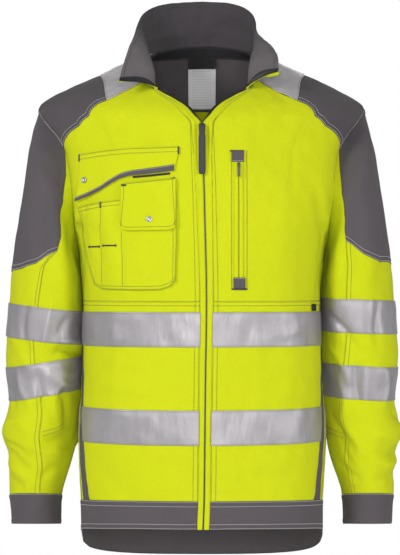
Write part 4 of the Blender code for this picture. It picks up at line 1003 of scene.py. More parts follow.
class Wardrobe:
    """Every finish, made once and handed out by name."""

    FINISHES = (
        Twill("lime work cloth", Slot.LIME, (0.58, 0.64, 0.008, 1), (0.53, 0.6, 0.006, 1), gloss=0.1,
              nap=0.02),
        Twill("grey work cloth", Slot.GREY, (0.09, 0.078, 0.086, 1), (0.107, 0.095, 0.103, 1)),
        # A copy of the grey work cloth painted about 15% darker: painted shade for the yokes, which face up.
        Twill("grey shoulder cloth", Slot.GREY, (0.076, 0.067, 0.073, 1), (0.094, 0.084, 0.09, 1)),
        # The collar lining's second colour is painted shade, darker towards the back of the neck.
        Twill("collar lining", Slot.GREY, (0.118, 0.105, 0.109, 1), (0.14, 0.126, 0.131, 1), rib=0.0008,
              painted_shade_behind=(0.058, 0.051, 0.057, 1)),
        Twill("grey collar cloth", Slot.GREY, (0.112, 0.1, 0.109, 1), (0.132, 0.119, 0.129, 1), rib=0.0008),
        Reflective("silver reflective tape", Slot.TAPE, (0.4, 0.38, 0.4, 1), (0.3, 0.285, 0.3, 1)),
        # A copy of the silver tape painted half as light again: painted light for the shoulder strips, which
        # face up.
        Reflective("bright reflective tape", Slot.TAPE, (0.6, 0.575, 0.59, 1), (0.42, 0.4, 0.415, 1)),
        Ribbed("black ribbon", Slot.BLACK, (0.01, 0.009, 0.012, 1), (0.028, 0.026, 0.032, 1)),
        Ribbed("white label", Slot.WHITE, (0.82, 0.8, 0.84, 1), (0.9, 0.88, 0.92, 1), rib=0.0005, rules=True),
        Yarn("olive thread", Slot.LIME, (0.2, 0.215, 0.025, 1), (0.11, 0.115, 0.02, 1)),
        Yarn("light grey thread", Slot.GREY, (0.62, 0.6, 0.62, 1), (0.42, 0.4, 0.42, 1)),
        Yarn("silver thread", Slot.TAPE, (0.33, 0.32, 0.33, 1), (0.22, 0.21, 0.22, 1)),
        Yarn("dark thread", Slot.GREY, (0.055, 0.05, 0.055, 1), (0.03, 0.028, 0.03, 1)),
        Hard("dark zip metal", Slot.METAL, (0.05, 0.05, 0.046, 1), (0.09, 0.09, 0.085, 1), 0.85, 0.42),
        Hard("black zip metal", Slot.METAL, (0.012, 0.012, 0.013, 1), (0.045, 0.043, 0.046, 1), 0.35, 0.48),
        Hard("black zip plastic", Slot.BLACK, (0.012, 0.011, 0.014, 1), (0.03, 0.028, 0.034, 1), 0.0, 0.40),
        Hard("brushed steel", Slot.STEEL, (0.42, 0.41, 0.42, 1), (0.58, 0.57, 0.58, 1), 1.0, 0.36),
    )

    def __init__(self) -> None:
        """Makes the materials."""
        self.made = {finish.name: (finish.material(), finish.slot) for finish in self.FINISHES}

    def dress(self, piece: bpy.types.Object, name: str) -> None:
        """Gives a piece this finish's material; the finish's slot is looked up but not set on the piece."""
        material, slot = self.made[name]
        piece.data.materials.append(material)


# ---- pieces ------------------------------------------------------------------------------------

def add_piece(name: str, points: Array, faces: Any, replaces: Sequence[str] = (), body: Body = Body.JACKET,
              uv: Array | None = None, smooth: bool = True) -> bpy.types.Object:
    """Makes a mesh piece and hands it to the frame.

    Args:
        name: the piece's name.
        points: (n, 3), in metres.
        faces: rows of point numbers, as an array or as lists of any length.
        replaces: the solids it stands for.
        body: the body it rides on.
        uv: (n, 2) the place of each point along the cloth, in metres.
        smooth: True for smooth shading.

    Returns:
        The object, without a finish so far.
    """
    mesh = bpy.data.meshes.new(name)
    mesh.from_pydata(np.asarray(points).tolist(), [], np.asarray(faces).tolist()
                     if isinstance(faces, np.ndarray) else faces)
    if smooth:
        mesh.shade_smooth()
    if uv is not None:
        corner = np.empty(len(mesh.loops), np.int32)
        mesh.loops.foreach_get("vertex_index", corner)
        mesh.uv_layers.new(name="cloth").data.foreach_set("uv", uv[corner].astype(np.float32).ravel())
    piece = bpy.data.objects.new(name, mesh)
    bpy.context.scene.collection.objects.link(piece)
    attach(piece, body.value)
    if replaces:
        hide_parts(*replaces)
    return piece


def quads(columns: int, rows: int) -> Array:
    """The faces of a grid of points numbered down each column in turn."""
    index = np.arange(columns * rows).reshape(columns, rows)
    return np.stack([index[:-1, :-1], index[1:, :-1], index[1:, 1:], index[:-1, 1:]], -1).reshape(-1, 4)


@dataclass
class Cloth:
    """One cut piece of cloth, as a thin shell.

    Attributes:
        name: the solid it stands for.
        grid: its smooth form.
        finish: the name of its finish.
        edges: how its edges are made.
        lift: its outer face above the smooth form, in metres.
        thick: its thickness.
        extra: a further lift at each point of the grid.
        solid: True where it stands for the solid of its name.
    """

    name: str
    grid: Grid
    finish: str
    edges: Edges = Edges()
    lift: float = 0.0
    thick: float = WALL
    extra: Array | None = None
    solid: bool = True

    def distances(self) -> dict[str, Array]:
        """How far each point of the grid lies from each edge."""
        across, down = self.grid.travel(0), self.grid.travel(1)
        return {"left": across, "right": across[-1:] - across,
                "top": down, "bottom": down[:, -1:] - down}

    def seam_lift(self) -> Array:
        """The lift by the edges: each edge's profile read at the distance from it, with puckers of
        about 9 mm where it is sewn."""
        total = np.zeros(self.grid.points.shape[:2])
        pucker = 0.00022 * waves(self.grid.points, 0.011, 21)
        for name, away in self.distances().items():
            kind = getattr(self.edges, name)
            if kind is Edge.RUN:
                continue
            at, heights = PROFILES[kind]
            total += np.interp(away * 1000, at, heights) / 1000
            total += PUCKERED.get(kind, 0) * pucker * np.exp(-(away / 0.011) ** 2)
        return total

    def surface(self, drape: Drape) -> Grid:
        """The outer face as it hangs, with normals worked out again from its own slopes."""
        lift = self.lift + drape.lift(self.grid.points) + self.seam_lift()
        if self.extra is not None:
            lift = lift + self.extra
        points = self.grid.lifted(lift)
        along_a, along_b = np.gradient(points, axis=0), np.gradient(points, axis=1)
        normals = unit(np.cross(along_b, along_a))
        normals *= np.sign((normals * self.grid.normals).sum(-1, keepdims=True))
        return Grid(points, normals)

    def build(self, drape: Drape, wardrobe: Wardrobe) -> Grid:
        face = self.surface(drape)
        columns, rows = face.points.shape[:2]
        uv = np.stack([self.grid.travel(0), -self.grid.travel(1)], axis=-1).reshape(-1, 2)
        faces = quads(columns, rows)
        one, two, _, four = (face.points.reshape(-1, 3)[faces[:, k]] for k in range(4))
        if (np.cross(two - one, four - one) * face.normals.reshape(-1, 3)[faces[:, 0]]).sum() < 0:
            faces = faces[:, ::-1]
        piece = add_piece(f"{self.name}_cloth", face.points.reshape(-1, 3), faces,
                          (self.name,) if self.solid else (), uv=uv)
        wardrobe.dress(piece, self.finish)
        shell = piece.modifiers.new("thickness", "SOLIDIFY")
        shell.thickness, shell.offset, shell.use_quality_normals = self.thick, -1, True
        width, length, area = self.grid.size()
        if min(width, length) > 0.011:
            round(max(min(area, width * length), 0.31 * width * length), 6)
        return face


@dataclass
class Seamstress:
    """Sews rows of stitches, and gathers those of one thread on one part of the jacket."""

    name: str
    finish: str
    pitch: float = 0.0036
    gap: float = 0.0007
    radius: float = 0.00034
    parts: list[Array] = field(default_factory=list)

    def sew(self, line: Array, out: Array, pitch: float | None = None) -> None:
        """Sews along a line of points.

        Args:
            line: (n, 3) points on the cloth.
            out: (n, 3) the cloth's outward directions there.
            pitch: the length of one stitch with its gap, where it isn't the usual one.

        Each stitch is a rod with a diamond-shaped section, full from 12 to 88% of its length, where
        it stands a thread's radius above the cloth; its pointed ends are sunk in it.
        """
        far = gone(line)
        pitch = pitch or self.pitch
        count = max(1, int(far[-1] / pitch))
        start = (np.arange(count) + 0.5) * far[-1] / count - pitch / 2
        at = start[:, None] + np.array([0, 0.12, 0.88, 1]) * (pitch - self.gap) + self.gap / 2
        index = np.interp(at.ravel(), far, np.arange(len(line)))
        middle = read_rows(line, index).reshape(count, 4, 3)
        up = unit(read_rows(out, index)).reshape(count, 4, 3)
        ahead = unit(middle[:, -1] - middle[:, 0])[:, None]
        across = unit(np.cross(ahead, up))
        rise = np.array([-0.8, 0.75, 0.75, -0.8])[None, :, None] * self.radius
        middle = middle + up * rise
        ring = np.stack([middle + across * self.radius * 1.25, middle + up * self.radius,
                         middle - across * self.radius * 1.25, middle - up * self.radius], axis=2)
        spots = np.concatenate([middle[:, :1], ring[:, 1], ring[:, 2], middle[:, 3:]], axis=1)
        self.parts.append(spots.reshape(-1, 3))

    def build(self, wardrobe: Wardrobe) -> None:
        """Makes one piece of all the stitches."""
        points = np.concatenate(self.parts)
        near = np.arange(1, 5)
        ahead, start, end = np.roll(near, -1), np.zeros(4, int), np.full(4, 9)
        one = np.concatenate([np.stack(corners, -1) for corners in (
            (start, ahead, near), (near, ahead, ahead + 4), (near, ahead + 4, near + 4),
            (end, near + 4, ahead + 4))])
        faces = (one[None] + 10 * np.arange(len(points) // 10)[:, None, None]).reshape(-1, 3)
        corner = points[:10][one]
        face_out = np.cross(corner[:, 1] - corner[:, 0], corner[:, 2] - corner[:, 0])
        if (face_out * (corner.mean(1) - points[:10].mean(0))).sum() < 0:
            faces = faces[:, ::-1]
        piece = add_piece(self.name, points, faces)
        wardrobe.dress(piece, self.finish)
        LOG.info("%s: %d stitches", self.name, len(points) // 10)


def inset(face: Grid, edge: str, away: float, trim: float = 0.001) -> tuple[Array, Array]:
    """The line at a distance from one edge of a piece.

    Args:
        face: the piece's outer face.
        edge: top, bottom, left or right.
        away: the distance along the cloth.
        trim: how much is left out at each end of the line.

    Returns:
        Its points and outward directions, read in straight lines between the grid's own.
    """
    points, normals = face.points, face.normals
    if edge in ("left", "right"):
        points, normals = points.swapaxes(0, 1), normals.swapaxes(0, 1)
    if edge in ("bottom", "right"):
        points, normals = points[:, ::-1], normals[:, ::-1]
    steps = np.linalg.norm(np.diff(points, axis=1), axis=-1)
    far = np.concatenate([np.zeros((len(points), 1)), np.cumsum(steps, axis=1)], axis=1)
    low = np.clip((far <= away).sum(1) - 1, 0, points.shape[1] - 2)
    every = np.arange(len(points))
    part = ((away - far[every, low]) / np.maximum(steps[every, low], 1e-9))[:, None]
    line = points[every, low] * (1 - part) + points[every, low + 1] * part
    out = normals[every, low] * (1 - part) + normals[every, low + 1] * part
    length = gone(line)
    at = np.interp(np.linspace(trim, length[-1] - trim, len(line)), length, np.arange(len(line)))
    return read_rows(line, at), unit(read_rows(out, at))


def loft(rings: Sequence[Array]) -> tuple[Array, list[list[int]]]:
    """A closed solid through rings of points, with a flat face at each end.

    Returns:
        Its points and its faces, which point outwards when the rings, seen from the last one, run
        anticlockwise.
    """
    count = len(rings[0])
    here = np.arange(count)
    after = np.roll(here, -1)
    faces: list[list[int]] = [here[::-1].tolist()]
    for ring in range(len(rings) - 1):
        low = ring * count
        faces += np.stack([here + low, after + low, after + low + count, here + low + count], 1).tolist()
    faces.append((here + (len(rings) - 1) * count).tolist())
    return np.concatenate(rings), faces


def rounded_box(width: float, height: float, corner: float, steps: int = 4) -> Array:
    """The outline of an upright rectangle with quarter-circle corners, about its middle, (n, 2)."""
    turn = np.arange(4).repeat(steps + 1)
    angle = (turn + np.tile(np.arange(steps + 1) / steps, 4)) * math.pi / 2
    x = (width / 2 - corner) * np.where((turn == 0) | (turn == 3), 1, -1)
    z = (height / 2 - corner) * np.where(turn < 2, 1, -1)
    return np.stack([x + corner * np.cos(angle), z + corner * np.sin(angle)], axis=-1)


# ---- the jacket's sub-assemblies ---------------------------------------------------------------

@dataclass
class Half:
    """The seams that cut one side of the jacket into pieces, as paths of parameters."""

    side: Side

    def __post_init__(self) -> None:
        """Builds the three surfaces and finds the seams on them."""
        self.body = BodyForm(self.side)
        self.sleeve = self.body.sleeve = SleeveForm(self.side, self.body)
        self.collar = self.body.collar = CollarForm(self.side, self.body)
        self.strip_seam = sampled(self.on_body(STRIP_SEAM, (0.55, 1)), 3)
        self.strip_seam[0, 1] = NECK
        self.yoke_seam = sampled(self.on_body(YOKE_SEAM, (0.7, 3)), 7)
        self.yoke_seam[0], self.yoke_seam[-1] = self.strip_seam[-1], (1, YOKE_END)
        self.strip_back = pairs([1.32, 1.28, 1.24], [NECK, 1, STRIP_END])
        self.yoke_back = pairs([1.24, 1.225, 1.205, 1.18, 1.15, 1.09, REAR],
                               [STRIP_END, 2.4, 2.9, 3.4, 3.9, 4.4, YOKE_END])
        self.cap_edge = sampled(self.on_sleeve(CAP_EDGE[self.side.name], (85, 1)), 6)
        self.cap_edge[0] = (math.radians(ARM_ANGLES[1]), 0)
        hem = CAP_HEM[self.side.name]
        outer = float(self.sleeve.at_height(0, hem[-1][1]))
        cap_hem = np.concatenate([self.on_sleeve(hem[:-1], (75, 2)), [(0, outer)]])
        self.cap_hem = sampled(cap_hem, 9)
        self.sleeve_seam = self.on_sleeve(SLEEVE_SEAM[self.side.name], (95, 4))
        self.sleeve_seam[-1, 1] = CUFF_TOP
        self.cap_hem[0] = self.sleeve_seam[0] = self.cap_edge[-1]

        start = self.strip_seam[-1]
        a = np.linspace(start[0], self.strip_back[-1, 0], 11)
        below = np.clip((STRIP_TURN - a) / (STRIP_TURN - start[0]), 0, 1) ** 2
        self.strip_end = pairs(a, STRIP_END + (start[1] - STRIP_END) * below)

    def on_body(self, spots: Sequence[Sequence[float]], guess: tuple[float, float] = (0.4, 6)) -> Array:
        """Parameters on the body of places given by their distance from the middle and height."""
        return self.body.locate(np.array(spots) * [self.side.value, 1], guess)

    def on_sleeve(self, spots: Sequence[Sequence[float]], guess: tuple[float, float]) -> Array:
        """The same on the sleeve; the guess is in degrees and rings."""
        return self.sleeve.locate(np.array(spots) * [self.side.value, 1], (math.radians(guess[0]), guess[1]))

    def insert_edge(self, column: int, rows: Array) -> Array:
        """The side insert's front (1) or rear (2) edge at these sections."""
        rows = np.asarray(rows, float)
        z = self.body.point(np.ones(len(rows)), rows)[:, 2]
        table = np.array(INSERT)
        places = pairs(np.interp(-z, -table[:, 0], table[:, column]), rows)
        if rows[0] < ARMPIT:
            places[0, 0] = 1 if column == 1 else REAR
        return places

    def beside(self, distance: Any, rows: Any) -> Array:
        """The line at this distance from the front edge at these sections."""
        return pairs(self.body.from_edge(distance, rows), rows)

    def welt_edge(self, rows: Any) -> Array:
        """The front panels' edge along the welt at these sections."""
        return self.beside(WELT_END, rows)

    def back_seam(self) -> Array:
        """The seam between the back yoke and the back panel, from the armhole to the middle."""
        a = np.linspace(REAR, 2, 17)
        return pairs(a, YOKE_END - (YOKE_END - 3) * np.sin((a - 1) * math.pi / 2) ** 1.2)

    def tape_rows(self, tape: str) -> Array:
        """Five sections from the top to the bottom edge of this tape."""
        top = BODY_TAPES[tape]
        return self.body.at_height(np.zeros(5), np.linspace(top, top - TAPE, 5))

    def back_tape(self, tape: str) -> Paths:
        """The paths of half of this tape across the back."""
        rows = self.tape_rows(tape)
        return level(self.body, self.insert_edge(2, rows), pairs(2, rows))

    def body_line(self, places: Array) -> Array:
        """Points on the body at these parameters."""
        return self.body.point(places[:, 0], places[:, 1])

    def front(self, spots: Sequence[Sequence[float]], count: int = 0) -> Array:
        """Parameters of a path over the front, with `count` points evenly spaced when given."""
        places = self.on_body(spots)
        return sampled(places, count) if count else places


class Halves(NamedTuple):
    """The two halves of the jacket."""

    right: Half
    left: Half


class Folds:
    """Where the jacket's main creases run, as the cloth hangs from the shoulders and the sleeves.

    Each table holds, for the right and for the left half, the points of a crease, its height and its
    width in mm and, where they differ from a Fold's own, its start and end shares and its crest."""

    # On the front, as seen from there: distances from the middle and heights, in mm.
    FRONT = {
        "R": (
            (((120, -110), (128, -200), (150, -300)), 1.6, 20),
            (((160, -170), (172, -240), (176, -330), (170, -380)), -3.4, 10),
            (((178, -200), (185, -260), (184, -330)), 2.8, 7, 0, 0, 1.8),
            (((110, -58), (100, -105), (88, -140)), 1.5, 12),
            (((150, -100), (128, -130), (100, -146)), 1.7, 13),
            (((30, -130), (60, -138), (100, -142)), -1.2, 14),
            (((85, -655), (50, -640), (16, -618)), 2, 13, 0.2),
            (((160, -600), (130, -640), (80, -668)), -2, 12),
            (((168, -480), (120, -500), (60, -496)), 1.8, 12, 0.2),
            (((170, -430), (135, -446), (100, -450)), -1.8, 9, 0.2, 0, 1.8),
            (((20, -500), (70, -520), (130, -516)), -1.5, 13),
            (((130, -385), (128, -450), (134, -560)), 1.6, 11),
            (((60, -560), (64, -620), (58, -680)), -1.4, 12, 0, 0.2),
        ),
        "L": (
            (((160, -170), (172, -240), (174, -330), (166, -380)), -3, 10),
            (((178, -205), (185, -265), (183, -340)), 2.6, 7, 0, 0, 1.8),
            (((96, -60), (90, -105), (96, -150)), 1.4, 12),
            (((150, -98), (132, -128), (108, -150)), 1.8, 14),
            (((100, -140), (116, -230), (112, -340)), 1.8, 22),
            (((60, -614), (100, -608), (160, -616)), 2.4, 10, 0.1, 0.2, 1.9),
            (((50, -634), (100, -630), (150, -636)), -2, 9, 0, 0.1),
            (((168, -490), (120, -506), (50, -500)), 1.7, 12, 0.2),
            (((100, -380), (104, -460), (98, -570)), -1.5, 13),
            (((160, -395), (130, -420), (85, -430)), 1.6, 9, 0.2, 0, 1.9),
            (((30, -560), (40, -620), (34, -680)), 1.2, 11, 0, 0.2),
        ),
    }
    # All round the body, by its own parameters.
    ROUND = {
        "R": (
            (((1.35, 3.6), (1.3, 5.2), (1.22, 7)), -3, 12),
            (((1.62, 4.2), (1.58, 6.5), (1.66, 8.8)), 2.4, 22),
            (((1.08, 8.6), (1.35, 9.2), (1.7, 9.4)), 2.2, 12, 0.2),
            (((1.02, 9.3), (1.3, 9.8), (1.62, 9.9)), -2.2, 11, 0.2),
            (((1.1, 11.3), (1.45, 11.6), (1.85, 11.5)), 2.2, 13, 0.1),
            (((1.8, 9.2), (1.76, 10.6), (1.82, 12)), -1.8, 16),
            (((1.95, 3.4), (1.9, 5), (1.93, 6.6)), -1.5, 15),
            (((0.98, 9), (0.94, 10.2), (0.9, 11.6)), -1.8, 8, 0.2),
            (((1.06, 8.9), (1.09, 9.9), (1.1, 11)), 5, 28, 0.3, 0.3),
        ),
        "L": (
            (((1.34, 3.8), (1.28, 5.4), (1.2, 7.2)), -3.2, 13),
            (((1.6, 4), (1.64, 6.2), (1.6, 8.6)), 2.2, 20),
            (((1.06, 8.8), (1.34, 9.5), (1.72, 9.6)), 2.4, 12, 0.2),
            (((1.05, 10.2), (1.4, 10.5), (1.8, 10.4)), -2, 13, 0.1),
            (((1.2, 11.2), (1.5, 11.7), (1.95, 11.9)), 1.8, 14),
            (((1.84, 8.8), (1.88, 10.4), (1.8, 12.2)), 1.6, 15),
            (((0.97, 9), (0.93, 10), (0.91, 11.4)), -1.6, 8, 0.2),
            (((1.06, 8.9), (1.09, 9.9), (1.1, 11)), 5, 28, 0.3, 0.3),
        ),
    }
    # On the sleeves: degrees forwards from the outer side, and ring numbers.
    SLEEVES = {
        "R": (
            (((60, 0.9), (50, 1.8), (70, 2.9)), 4, 12),
            (((95, 0.8), (88, 1.8), (95, 3)), -4.6, 9, 0, 0, 1.8),
            (((20, 1), (28, 2.2), (60, 3.2)), -3, 13),
            (((125, 0.6), (118, 2), (128, 3.4)), 4.1, 9, 0, 0, 1.9),
            (((70, 3.4), (62, 4), (72, 4.7)), -3.6, 5, 0, 0, 1.6),
            (((104, 3.2), (98, 3.9), (92, 4.6)), 3.8, 5, 0, 0, 1.5),
            (((128, 3.3), (118, 3.9), (124, 4.5)), -4.2, 6, 0.2, 0, 1.6),
            (((176, 4.05), (140, 4), (108, 4.15)), 6.5, 7, 0.6, 0, 1.6),
            (((106, 4.6), (122, 4.28), (140, 4.32), (176, 4.36)), -7, 3.2, 0.1, 0.7, 1.4),
            (((172, 4.8), (140, 5), (104, 4.9)), 4, 7, 0.4, 0, 1.7),
            (((120, 5.3), (134, 5.9), (136, 6.6)), -5.5, 6.5, 0.1, 0.1, 1.8),
            (((182, 5), (181, 5.8), (180, 6.5)), 5, 24, 0.4, 0.3),
            (((3, 7.2), (46, 7.35), (82, 7.8)), -6, 3.6, 0.6, 0, 1.4),
            (((160, 7.1), (124, 7.3), (98, 7.35)), -5, 3.6, 0.5, 0, 1.4),
            (((184, 6.5), (180, 6.9), (178, 7.2)), 5, 9, 0.3, 0.3),
            (((162, 5.2), (132, 5.3), (98, 5)), 5.4, 7, 0.3, 0, 1.6),
            (((20, 4.3), (50, 4.6), (84, 5.2)), 3.6, 9, 0.1),
            (((52, 5), (60, 5.7), (80, 6.2)), 5, 6, 0, 0, 1.4),
            (((86, 5), (92, 5.7), (84, 6.4)), -5, 6, 0, 0, 1.5),
            (((128, 5.2), (112, 5.8), (120, 6.3)), 4.2, 6, 0, 0, 1.5),
            (((8, 5.4), (30, 5.9), (44, 6.3)), -4.6, 7, 0.3, 0, 1.6),
            (((14, 6.8), (50, 6.5), (92, 6.8)), 5.4, 9, 0.3, 0, 1.8),
            (((150, 6.6), (122, 6.9), (92, 7.2)), -5.6, 7, 0.5, 0, 1.5),
            (((140, 7.3), (112, 7.4), (76, 7.2)), 5.2, 6, 0.5, 0, 1.5),
            (((4, 7.5), (38, 7.8), (84, 8.7)), -6, 7, 0.4, 0, 1.5),
            (((10, 8.2), (44, 8.5), (82, 9.1)), 4.6, 8, 0.3, 0, 1.7),
            (((150, 7.9), (112, 8.4), (96, 9)), -4.6, 7, 0.3, 0, 1.7),
            (((20, 8.9), (56, 9.4), (70, 9.8)), -3.2, 8, 0, 0, 1.9),
            (((75, 9.1), (80, 9.6), (72, 10.2)), 2.4, 6, 0, 0.3, 1.9),
            (((-30, 1), (-50, 2.4), (-40, 3.6)), 3.5, 14),
            (((-80, 0.6), (-92, 2), (-84, 3.4)), -4.1, 11),
            (((-160, 4.2), (-120, 4.5), (-70, 4.3)), 6, 8, 0.5, 0, 1.6),
            (((-150, 4.9), (-110, 5.3), (-50, 5.1)), -5.6, 8, 0.3, 0, 1.7),
            (((-20, 6.6), (-70, 6.9), (-120, 6.7)), 5, 9, 0.2, 0, 1.8),
            (((-30, 7.8), (-80, 8), (-130, 7.7)), -5, 8, 0.1, 0.2, 1.7),
            (((128, 1.2), (130, 2.6), (130, 4.2)), 8, 24, 0.2, 0.3),
            (((176, 0.5), (180, 1.2), (182, 2.2)), 5.5, 18, 0.6, 0.3),
            (((168, 2.2), (174, 3.6), (178, 5)), 5, 26, 0.4, 0.3),
        ),
        "L": (
            (((182, 5), (181, 5.8), (180, 6.5)), 4, 24, 0.4, 0.3),
            (((58, 0.8), (46, 1.9), (66, 3)), 3.6, 12),
            (((98, 0.7), (90, 1.7), (97, 2.9)), -4.6, 9, 0, 0, 1.8),
            (((24, 1.2), (34, 2.4), (66, 3.3)), -3.2, 12),
            (((128, 0.7), (120, 2.1), (130, 3.5)), 3.8, 9, 0, 0, 1.9),
            (((140, 3.2), (116, 3.8), (98, 4.7)), -5.6, 6, 0.4, 0, 1.5),
            (((40, 6.1), (22, 6.5), (3, 6.6)), -5, 3.6, 0, 0.6, 1.4),
            (((110, 8.4), (128, 7.6), (138, 6.4)), -5, 3.8, 0, 0.1, 1.4),
            (((3, 7.7), (36, 7.8), (84, 7.4)), -5.5, 3.6, 0.6, 0, 1.4),
            (((100, 5.9), (106, 5.3), (104, 4.4)), -4.5, 3.4, 0, 0, 1.5),
            (((150, 3.9), (128, 4.5), (112, 5.4)), 5.4, 7, 0.3, 0, 1.5),
            (((62, 3.4), (70, 4.1), (66, 4.8)), -3.6, 6, 0, 0, 1.6),
            (((96, 4.7), (100, 5.4), (94, 6.1)), -4.8, 6, 0, 0, 1.5),
            (((56, 5), (48, 5.7), (60, 6.3)), 5.2, 6, 0, 0, 1.4),
            (((26, 5.1), (30, 5.8), (20, 6.3)), -5, 5, 0, 0, 1.4),
            (((128, 5.1), (120, 5.8), (132, 6.4)), 4, 7, 0.1, 0, 1.6),
            (((14, 6.6), (54, 6.9), (96, 6.6)), 4.8, 9, 0.3, 0, 1.8),
            (((150, 6.2), (128, 6.9), (112, 7.6)), -6, 7, 0.3, 0, 1.5),
            (((126, 6.4), (106, 7.1), (98, 7.9)), 4.6, 6, 0.2, 0, 1.6),
            (((2, 7.4), (34, 7.5), (78, 7)), -6, 7, 0.5, 0, 1.5),
            (((2, 8.1), (40, 8.2), (90, 7.9)), 5.4, 7, 0.4, 0, 1.6),
            (((4, 8.8), (44, 8.8), (84, 9.2)), -4.8, 6, 0.4, 0, 1.6),
            (((150, 8), (124, 8.6), (110, 9.3)), -4.2, 7, 0.3, 0, 1.7),
            (((-34, 0.9), (-46, 2.6), (-36, 3.4)), 3.2, 14),
            (((-84, 0.7), (-90, 2.2), (-82, 3.2)), -3.8, 11),
            (((-160, 4.3), (-118, 4.4), (-74, 4.5)), 5.6, 8, 0.5, 0, 1.6),
            (((-152, 5), (-106, 5.1), (-48, 5.4)), -5.2, 8, 0.3, 0, 1.7),
            (((-24, 6.8), (-76, 6.7), (-124, 6.9)), 4.6, 9, 0.2, 0, 1.8),
            (((-26, 7.9), (-72, 7.7), (-126, 8)), -4.6, 8, 0.1, 0.2, 1.7),
            (((128, 1.2), (130, 2.6), (130, 4.2)), 8, 24, 0.2, 0.3),
            (((176, 0.5), (180, 1.2), (182, 2.2)), 5.5, 18, 0.6, 0.3),
            (((168, 2.2), (174, 3.6), (178, 5)), 5, 26, 0.4, 0.3),
        ),
    }
    # On the collar, by its own parameters.
    COLLAR = {
        "R": (
            (((1, 0.62), (1.4, 0.5), (1.9, 0.56)), 2.2, 8, 0, 0.3),
            (((1.3, 0.28), (1.6, 0.24), (2, 0.3)), -2, 8, 0, 0.3),
            (((0.35, 0.35), (0.55, 0.6), (0.7, 0.85)), 1.6, 9),
            (((0.9, 0.1), (1.3, 0.14), (1.8, 0.08)), 1.6, 7),
        ),
        "L": (
            (((1.1, 0.5), (1.5, 0.42), (2, 0.52)), 2, 8, 0, 0.3),
            (((1.2, 0.7), (1.6, 0.74), (1.9, 0.66)), -2.2, 8),
            (((0.3, 0.45), (0.52, 0.55), (0.72, 0.8)), 1.6, 9),
        ),
    }

    def __init__(self, halves: Halves) -> None:
        """Lays the creases of the body, of the sleeves and of the collar."""
        self.body, self.sleeves, self.collar = Drape(), Drape(), Drape()
        for half in halves:
            name = half.side.name
            for spots, *shape in self.FRONT[name]:
                self.lay(self.body, half.body, half.on_body(np.array(spots) / 1000), *shape)
            for spots, *shape in self.ROUND[name]:
                self.lay(self.body, half.body, np.array(spots), *shape)
            for spots, *shape in self.SLEEVES[name]:
                self.lay(self.sleeves, half.sleeve, spots * np.array([math.pi / 180, 1]), *shape)
            for spots, *shape in self.COLLAR[name]:
                self.lay(self.collar, half.collar, np.array(spots), *shape)

    def lay(self, drape: Drape, form: Form, places: Array, height: float, width: float, *ends: float) -> None:
        """Adds one crease: a smooth curve of 13 points through these parameters."""
        at = np.linspace(0, len(places) - 1, 13)
        a, b = (smooth_rows(places[:, k], at) for k in (0, 1))
        drape.folds.append(Fold(form.point(a, b), height / 1000, width / 1000, *ends))


THREADS = {
    "lime_front": ("stitches_front", "olive thread"),
    "lime_pocket": ("stitches_pockets", "olive thread"),
    "lime_back": ("stitches_back", "olive thread"),
    "lime_sleeves": ("stitches_sleeves", "olive thread"),
    "grey_yoke": ("stitches_yoke", "light grey thread"),
    "grey_sleeves": ("stitches_sleeve_caps", "light grey thread"),
    "grey_hem": ("stitches_hem", "light grey thread"),
    "grey_collar": ("stitches_collar", "dark thread"),
    "tape": ("stitches_tapes", "silver thread"),
    "bars": ("bartacks", "dark thread"),
}
LIME, GREY, BLACK = "lime work cloth", "grey work cloth", "black ribbon"
ZIP_SHOWN = ((2.6, 3.5, 4.0), (-0.0036, -0.0012, 0.0004))     # the zip's tape past the front edge
ARM_SIDE = (5, 5.6, 6.2, 6.9)                                 # body sections down the armhole's edge
INSERT_ROWS = np.array([7.5, 7.9, 8.3, 8.65, 9, 9.5, 10, 10.3, 10.6, 11, 11.5, 12])
HEM_ROWS = (HEM_TOP, 12.5, HEM)
Paths = tuple[Form, Array, Array, Array, Array]               # a surface, then a grid's four paths


class Workroom(NamedTuple):
    """What every sub-assembly needs: the halves, the folds, the finishes and the threads."""

    halves: Halves
    drape: Drape
    wardrobe: Wardrobe
    threads: dict[str, Seamstress]

    def make(self, *facts: Any, **more: Any) -> Grid:
        """Builds the piece of cloth of these fields, and returns its outer face."""
        return Cloth(*facts, **more).build(self.drape, self.wardrobe)

    def tape(self, name: str, grid: Grid, edges: Edges = FREE) -> None:
        """Makes a reflective tape: its crinkles, uneven ridges across it, are waves of 16 and 50 mm,
        and its two long edges are sewn down."""
        crinkle = (0.00018 * waves(grid.points * [1, 1, 0.2], 0.016, 31)
                   + 0.0005 * np.abs(waves(grid.points * [1, 1, 0.25], 0.050, 32)))
        down = grid.travel(1)
        share = np.clip(np.minimum(down, down[:, -1:] - down) / 0.010, 0.1, 1)
        face = self.make(name, grid, "silver reflective tape", edges, 0.0014, 0.0005, crinkle * share)
        self.rows("tape", face, "top", "bottom", away=(0.0022,))

    def both(self, paths: Callable[[Half], Paths], edges: Edges, pitch: float, tall: float) -> Grid:
        """A grid over both halves, which meet on the middle of the back.

        Args:
            paths: gives a half's surface, and its top, bottom, side and middle paths.
            edges: the kinds of the right half's edges.
            pitch: the spacing of the lines.
            tall: the height that sets how many rows there are.
        """
        one, two = (fill(*paths(half), edges, pitch, tall) for half in self.halves)
        return one.beside(two.reversed())

    def rows(self, thread: str, face: Grid, *edges: str, away: Sequence[float] = ROWS) -> None:
        """Sews rows beside these edges of a piece."""
        for edge in edges:
            for distance in away:
                self.threads[thread].sew(*inset(face, edge, distance))

    def run(self, thread: str, form: Form, places: Array, lift: float, pitch: float | None = None) -> None:
        """Sews along a path of parameters, this far above the smooth form."""
        places = sampled(places, max(4, 8 * len(places)))
        points = form.point(places[:, 0], places[:, 1])
        out = form.normal(places[:, 0], places[:, 1])
        points = points + out * (lift + self.drape.lift(points))[:, None]
        self.threads[thread].sew(points, out, pitch)


